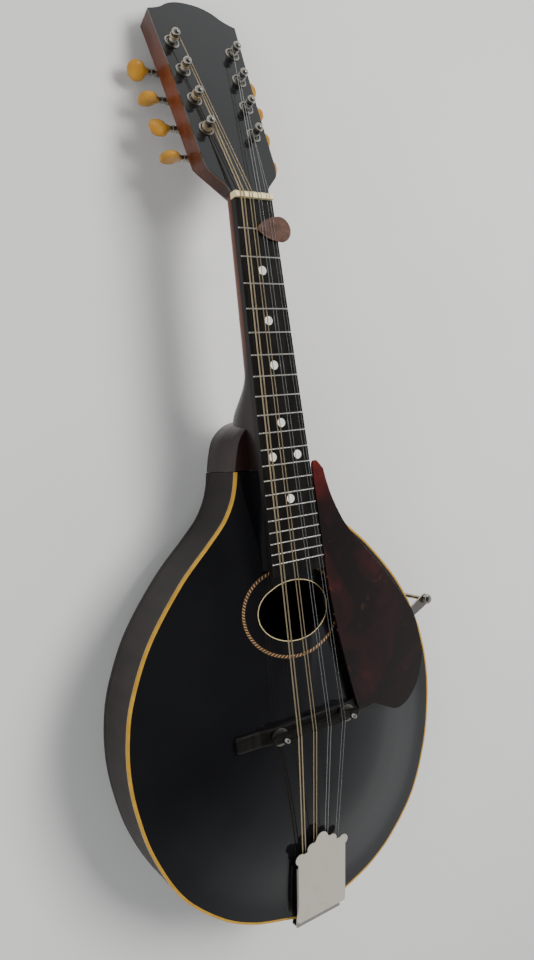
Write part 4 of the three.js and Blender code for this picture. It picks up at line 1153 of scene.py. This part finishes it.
def bridge():
    """The base with its two feet, and on it the studs and thumbwheels."""
    top = catmull([(0, 17.8), (15, 17.8), (30, 17.7), (36, 16.8), (40, 15.6), (46, 15.0), (53, 14.6),
                   (57.4, 14.1)], 46)
    xs = np.concatenate([-top[::-1, 0], top[1:, 0]])
    zs = np.concatenate([top[::-1, 1], top[1:, 1]])
    rings = []
    for x, z in zip(xs, zs):
        low = top_z(x, SADDLE_Y) + 0.1
        arch = 15.2 * math.sqrt(max(0.0, 1 - (x / 16) ** 2)) if abs(x) < 16 else 0.0
        low = max(low, arch)
        half = 5.5 - 1.3 * max(0.0, (abs(x) - 55.9) / 1.5) ** 2
        round_top = min(1.0, (z - low) / 2)
        fore, aft = SADDLE_Y + half, SADDLE_Y - half
        lows = [max(arch, top_z(x, y) + 0.1) for y in (fore, aft)]
        corner, brow = z - 1.1 * round_top, z - 0.2 * round_top
        rings.append([(x, aft, min(lows[1], z - 0.3)), (x, aft, corner), (x, aft + 0.9, brow),
                      (x, aft + 2.2, z), (x, fore - 2.2, z), (x, fore - 0.9, brow), (x, fore, corner),
                      (x, fore, min(lows[0], z - 0.3))])
    base = mesh_piece("bridge_foot", *loft(rings), EBONY, sharp=45)
    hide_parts("bridge_base")
    for label, side in BOTH_SIDES:
        x = side * STUD_X
        thread, _ = thread_profile(17.0, 29.6, 1.22, 0.8)
        profile = [(0, 14)] + thread + [(1.45, 29.7), (1.5, 30.2), (1.1, 30.6), (0, 30.65)]
        mesh_piece("stud_" + label, *lathe(profile, 24, (x, SADDLE_Y)), NICKEL, sharp=60)
        knurled = []
        for k in range(KNURLS):
            a = k * TAU / KNURLS
            r = 6.0 - (0.22 if k % 2 else 0.0)
            section = [(1.7, 19.1), (r - 0.6, 19.1), (r, 19.45), (r, 21.25), (r - 0.6, 21.6), (1.7, 21.6)]
            knurled.append([(x + q * math.cos(a), SADDLE_Y + q * math.sin(a), h) for q, h in section])
        wheel = mesh_piece("wheel_" + label, *torus_loft(knurled), NICKEL_DARK, body="wheel_" + label)
        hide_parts("thumbwheel_" + label)


def saddle():
    """A thin blade that rises on the two thumbwheels, with a collar round each stud."""
    crown = catmull([(0, SADDLE_CREST), (10, SADDLE_CREST), (21, SADDLE_CREST), (23.2, 28.4), (26, 27.5),
                     (32, 27.1), (34.8, 26.6), (35.9, 25.2)], 60)
    under = [(0, 21.9), (33.4, 21.9), (35.4, 22.9), (35.9, 24.2)]
    line = [(-x, z) for x, z in crown[::-1]] + [tuple(p) for p in crown[1:]]
    line += under[::-1] + [(-x, z) for x, z in under[1:]]

    def half_thickness(z):
        return 2.5 * (1 - 0.58 * max(z - 24, 0) / (SADDLE_CREST - 24))

    rings = []
    for share in (-1, -0.8, 0.8, 1):
        ease = 0.3 if abs(share) == 1 else 0.0
        rings.append([(x * (1 - ease / 36), SADDLE_Y + share * half_thickness(z),
                       z - math.copysign(ease, z - 24.5)) for x, z in line])
    piece = mesh_piece("saddle_blade", *loft(rings), EBONY, body="saddle", sharp=50)
    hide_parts("bridge_saddle")
    for label, side in BOTH_SIDES:
        ring = washer(1.62, 2.3, 26.9, 27.75, 24, (side * STUD_X, SADDLE_Y), 0.1)
        mesh_piece("stud_collar_" + label, *ring, EBONY, body="saddle")


def cover_outline():
    """Straight sides, then five overlapping lobes across the front."""
    right = [(20.4, 6.1), (20.4, 51.2)]
    for x, y, radius, start, end, steps in (
        (20.9, 51.9, 0.6, 215, 150, 4), (18.4, 55.5, 4.1, -52, 128, 20), (14.9, 59.1, 0.7, 285, 215, 4),
        (8.6, 60.0, 4.0, -20, 112, 16), (6.4, 64.7, 0.9, 295, 220, 4), (0, 64.3, 5.0, 18, 90, 12),
    ):
        right += arc(x, y, radius, start, end, steps)
    return mirrored(right)


def tailpiece():
    """The sliding cover over the string hooks and rails, and the flange down the end of the body."""
    roof = plate(cover_outline(), 6.42, 6.9)
    walls = [box(x, x + 0.6, 6.3, 48, 4.7, 6.5) for x in (-20.35, 19.75)]
    cover = mesh_piece("cover_shell", *joined(roof, *walls), NICKEL_BRUSHED, TAIL, "cover", bevel=0.22,
                       steps=3)
    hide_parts("tailpiece_cover")
    base = plate([(-19, -1.6), (19, -1.6), (19, 44), (-19, 44)], 1.4, 2.4,
                 [circle(x, y, 3.6, 20) for x in (-10, 0, 10) for y in (24, 36)])
    rails = [box(x, x + 1, 6, 44, 1.5, 5.9) for x in (-19, 18)]
    hooks = []
    for k in range(8):
        x = spread(k, PAIR_AT_TAIL)
        path = [(x, 13.6, 2.0), (x, 13.5, 3.6), (x, 13.1, 4.5), (x, 12.3, 5.0), (x, 11.3, 5.2)]
        hooks.append(tube(catmull(path, 10), 0.42, 8))
    frame_top = mesh_piece("hook_plate", *joined(base, *rails, *hooks), NICKEL, TAIL, bevel=0.12)
    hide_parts("tailpiece_frame")
    outline = [(-19, 1.9), (-19, -4)] + quadratic((-19, -4), (-13, -9), (-13, -14))[1:] + [(-13, -27)]
    outline += arc(-7, -27, 6, 180, 270, 8)[1:] + arc(7, -27, 6, 270, 360, 8)
    outline += quadratic((13, -14), (13, -9), (19, -4)) + [(19, 1.9)]

    def upright(part, x=0, z=0):
        return [(x + a, TAIL_Y - 0.5 - t, z + b) for a, b, t in part[0]], part[1]

    flat = plate(outline, 0, 1, [circle(x, z, 1.7, 18) for x, z in FLANGE_HOLES])
    mesh_piece("tail_flange", *upright(flat), NICKEL, BODY, bevel=0.15)
    head = lathe([(0, 1.75), (1.6, 1.7), (2.6, 1.2), (2.9, 0.95), (2.9, 0.8), (0, 0.8)], 24)
    screws = [upright(head, x, z) for x, z in FLANGE_HOLES]
    mesh_piece("flange_screws", *joined(*screws), NICKEL_DARK)


# ---------------------------------------------------------------- strings


def spread(index, pair_spacing):
    """Where a string lies across the instrument, counted from the bass side."""
    return (index // 2 - 1.5) * pair_spacing + (index % 2 - 0.5) * IN_PAIR


def to_body(place, point):
    return np.array(BODY.inverted() @ (place @ Vector(point)))


def between(a, b, shares):
    return [a * (1 - t) + b * t for t in shares]


def string_on_post(k, r):
    """The turns of a string round its post, and the point where it leaves for the nut."""
    side, i = (-1, k) if k < 4 else (1, 7 - k)
    px, py = post_place(side, i)
    reach, height = 2.55 + r, STRING_ON_POST[i]
    coil = []
    for a in np.linspace(0, TAU * STRING_TURNS, int(26 * STRING_TURNS)):
        swing = math.pi - a if side > 0 else a
        coil.append((px + reach * math.cos(swing), py + reach * math.sin(swing), height - 2.05 * r * a / TAU))
    return [to_body(HEAD, p) for p in coil], to_body(HEAD, (px - side * reach, py, height))


def bend_at_saddle(name, part, material):
    """A length of string, baked to the row frame and attached to no body."""
    piece = mesh_piece(name, *part, material, body=None)
    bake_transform(piece)
    return piece


def strings():
    for k, gauge in enumerate(GAUGES):
        r = gauge / 2
        material = BRONZE if k < 4 else STEEL
        nut_x, tail_x = spread(k, PAIR_AT_NUT), spread(k, PAIR_AT_TAIL)
        coil, leaves_post = string_on_post(k, r)
        behind_nut = to_body(NECK, (nut_x, NUT_TO - 0.6, 1.1 + r))
        on_nut = to_body(NECK, (nut_x, NUT_FROM + 0.2, 1.25 + r))
        on_saddle = np.array([spread(k, PAIR_AT_SADDLE), SADDLE_Y, SADDLE_CREST + 0.1 + r])
        lead = between(behind_nut, leaves_post, np.linspace(0.02, 0.97, 8))
        path = coil[::-1] + lead[::-1] + [behind_nut] + between(on_nut, on_saddle, np.linspace(0, 1, 16))
        fore = bend_at_saddle(f"string_{k + 1}_speaking", tube(path, r, 10), material)
        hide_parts(f"string_{k + 1}")
        hook = to_body(TAIL, (tail_x, HOOK_Y, HOOK_Z))
        twist_end = hook + (on_saddle - hook) * 0.16
        path = between(on_saddle, twist_end, np.linspace(0, 1, 10))
        path += between(twist_end, hook, np.linspace(0.1, 1, 8))
        radii = [r] * 10 + [r * 1.9 * (1 + 0.08 * math.sin(3 * j)) for j in range(8)]
        eye = [(0.75, 0.9), (0.85, 1.6), (0, 2.4), (-0.85, 1.6), (-0.75, 0.9), (0, 0)]
        loop = [to_body(TAIL, (tail_x + x, HOOK_Y - y, HOOK_Z)) for x, y in eye]
        part = joined(tube(path, radii, 10), tube(catmull(loop, 20), min(r, 0.22), 8))
        bend_at_saddle(f"string_{k + 1}_tail", part, material)


# ---------------------------------------------------------------- pickguard, clamp and plectrum


def pickguard():
    outer = [(29.5, -182), (31.5, -191.5), (35.5, -204.5), (44.5, -223), (58, -240), (77, -263),
             (94, -287.5), (101, -300), (105, -318), (106, -333), (99, -351), (88, -362.5), (76, -366),
             (64.5, -361), (52, -355.5), (41.5, -356)]
    inner = [(41.5, -356), (38, -344), (29.5, -297), (24, -252.5), (20.6, -181)]
    line = quadratic((20.6, -181), (20.8, -174.5), (24.5, -176))
    line += [tuple(p) for p in (*catmull(outer, 90), *catmull(inner, 40)[1:-1])]
    sheet = plate(line[::-1], GUARD_LOW, GUARD_HIGH)
    guard = mesh_piece("tortoise_guard", *sheet, TORTOISE, bevel=0.8, steps=3)
    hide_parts("pickguard")
    low, high = top_z(*GUARD_PIN), GUARD_LOW + 0.2
    profile = [(0, low + 0.1), (1.9, low + 0.1), (1.9, low + 0.8), (1.4, low + 1.2), (1.4, high), (0, high)]
    pin = lathe(profile, 20, GUARD_PIN)
    mesh_piece("guard_pin", *pin, NICKEL)


def clamp():
    """The arm under the pickguard, the jaw under the back's edge and the screw that joins them."""
    place = BODY @ Matrix.Translation((CLAMP_X, CLAMP_Y, 0)) @ Matrix.Rotation(CLAMP_OUT, 4, "Z")
    arm_top = GUARD_LOW - 0.3
    line = [(-17, -3), (-17, 3), (-2, 4)] + arc(SCREW_OUT, 0, 4, 90, -90, 18) + [(-2, -4)]
    bar = plate(line[::-1], arm_top - 1.5, arm_top, [circle(SCREW_OUT, 0, 1.75, 20)])
    arm = mesh_piece("guard_arm", *bar, NICKEL, place, bevel=0.25)
    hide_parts("clamp_arm")
    dome = [(0, arm_top - 2.1), (1.2, arm_top - 2.0), (1.5, arm_top - 1.5), (0, arm_top - 1.4)]
    rivets = [lathe(dome, 16, (x, 0)) for x in (-13.5, -8)]
    mesh_piece("arm_rivets", *joined(*rivets), NICKEL_DARK, place)
    jaw_top = -EDGE_DEPTH - 0.3
    lip = plate([(-5, -3.4), (-4.4, -4), (2, -4), (2, 4), (-4.4, 4), (-5, 3.4)][::-1], jaw_top - 1.5, jaw_top)
    stem = washer(1.75, 4.0, jaw_top - 5, jaw_top, 32, (SCREW_OUT, 0), 0.3)
    web = box(1.2, 2.4, -2.5, 2.5, jaw_top - 4.6, jaw_top - 1)
    jaw = mesh_piece("hook_jaw", *joined(lip, stem, web), NICKEL, place, "clamp_jaw_body", bevel=0.2)
    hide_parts("clamp_jaw")
    knob_low = arm_top + 0.3
    thread, z = thread_profile(jaw_top - 6.2, -20, 1.2, 1.0)
    knob = [(1.5, 0), (3.0, 0), (3.6, 0.5), (3.6, 2.6), (3.1, 3.2), (1.8, 3.7), (0, 3.8)]
    profile = [(0, jaw_top - 7), (1.1, jaw_top - 7), (1.45, jaw_top - 6.6), *thread, (1.5, z)]
    bolt = lathe(profile + [(radius, knob_low + rise) for radius, rise in knob], 36, (SCREW_OUT, 0))
    screw = mesh_piece("clamp_bolt", *bolt, NICKEL, place, "clamp_screw_body", sharp=50)
    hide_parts("clamp_screw")


def plectrum():
    line = quadratic((-1, -20.6), (4.5, -27.2), (17, -28.2), 14)
    line += arc(17, -19.6, 8.6, -90, 90, 26)[1:]
    line += quadratic((17, -11.0), (4.5, -12.2), (-1, -19.4), 14)[1:]
    pick = mesh_piece("pick_blade", *plate(line, 0.12, 0.85), HORN, NECK, "pick", bevel=0.22, steps=3)
    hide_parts("plectrum")


# ---------------------------------------------------------------- make everything

for build in (add_camera, add_surroundings, build_body, build_neck, build_tuners, bridge, saddle,
              tailpiece, strings, pickguard, clamp, plectrum):
    build()

INSIDE = {"top_lining": SPRUCE, "back_lining": SPRUCE, "tone_bar": SPRUCE, "tail_block": BLOCK_WOOD,
          "neck_block": BLOCK_WOOD}
for node, material in INSIDE.items():
    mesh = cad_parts[node].data
    mesh.materials.clear()
    mesh.materials.append(material)
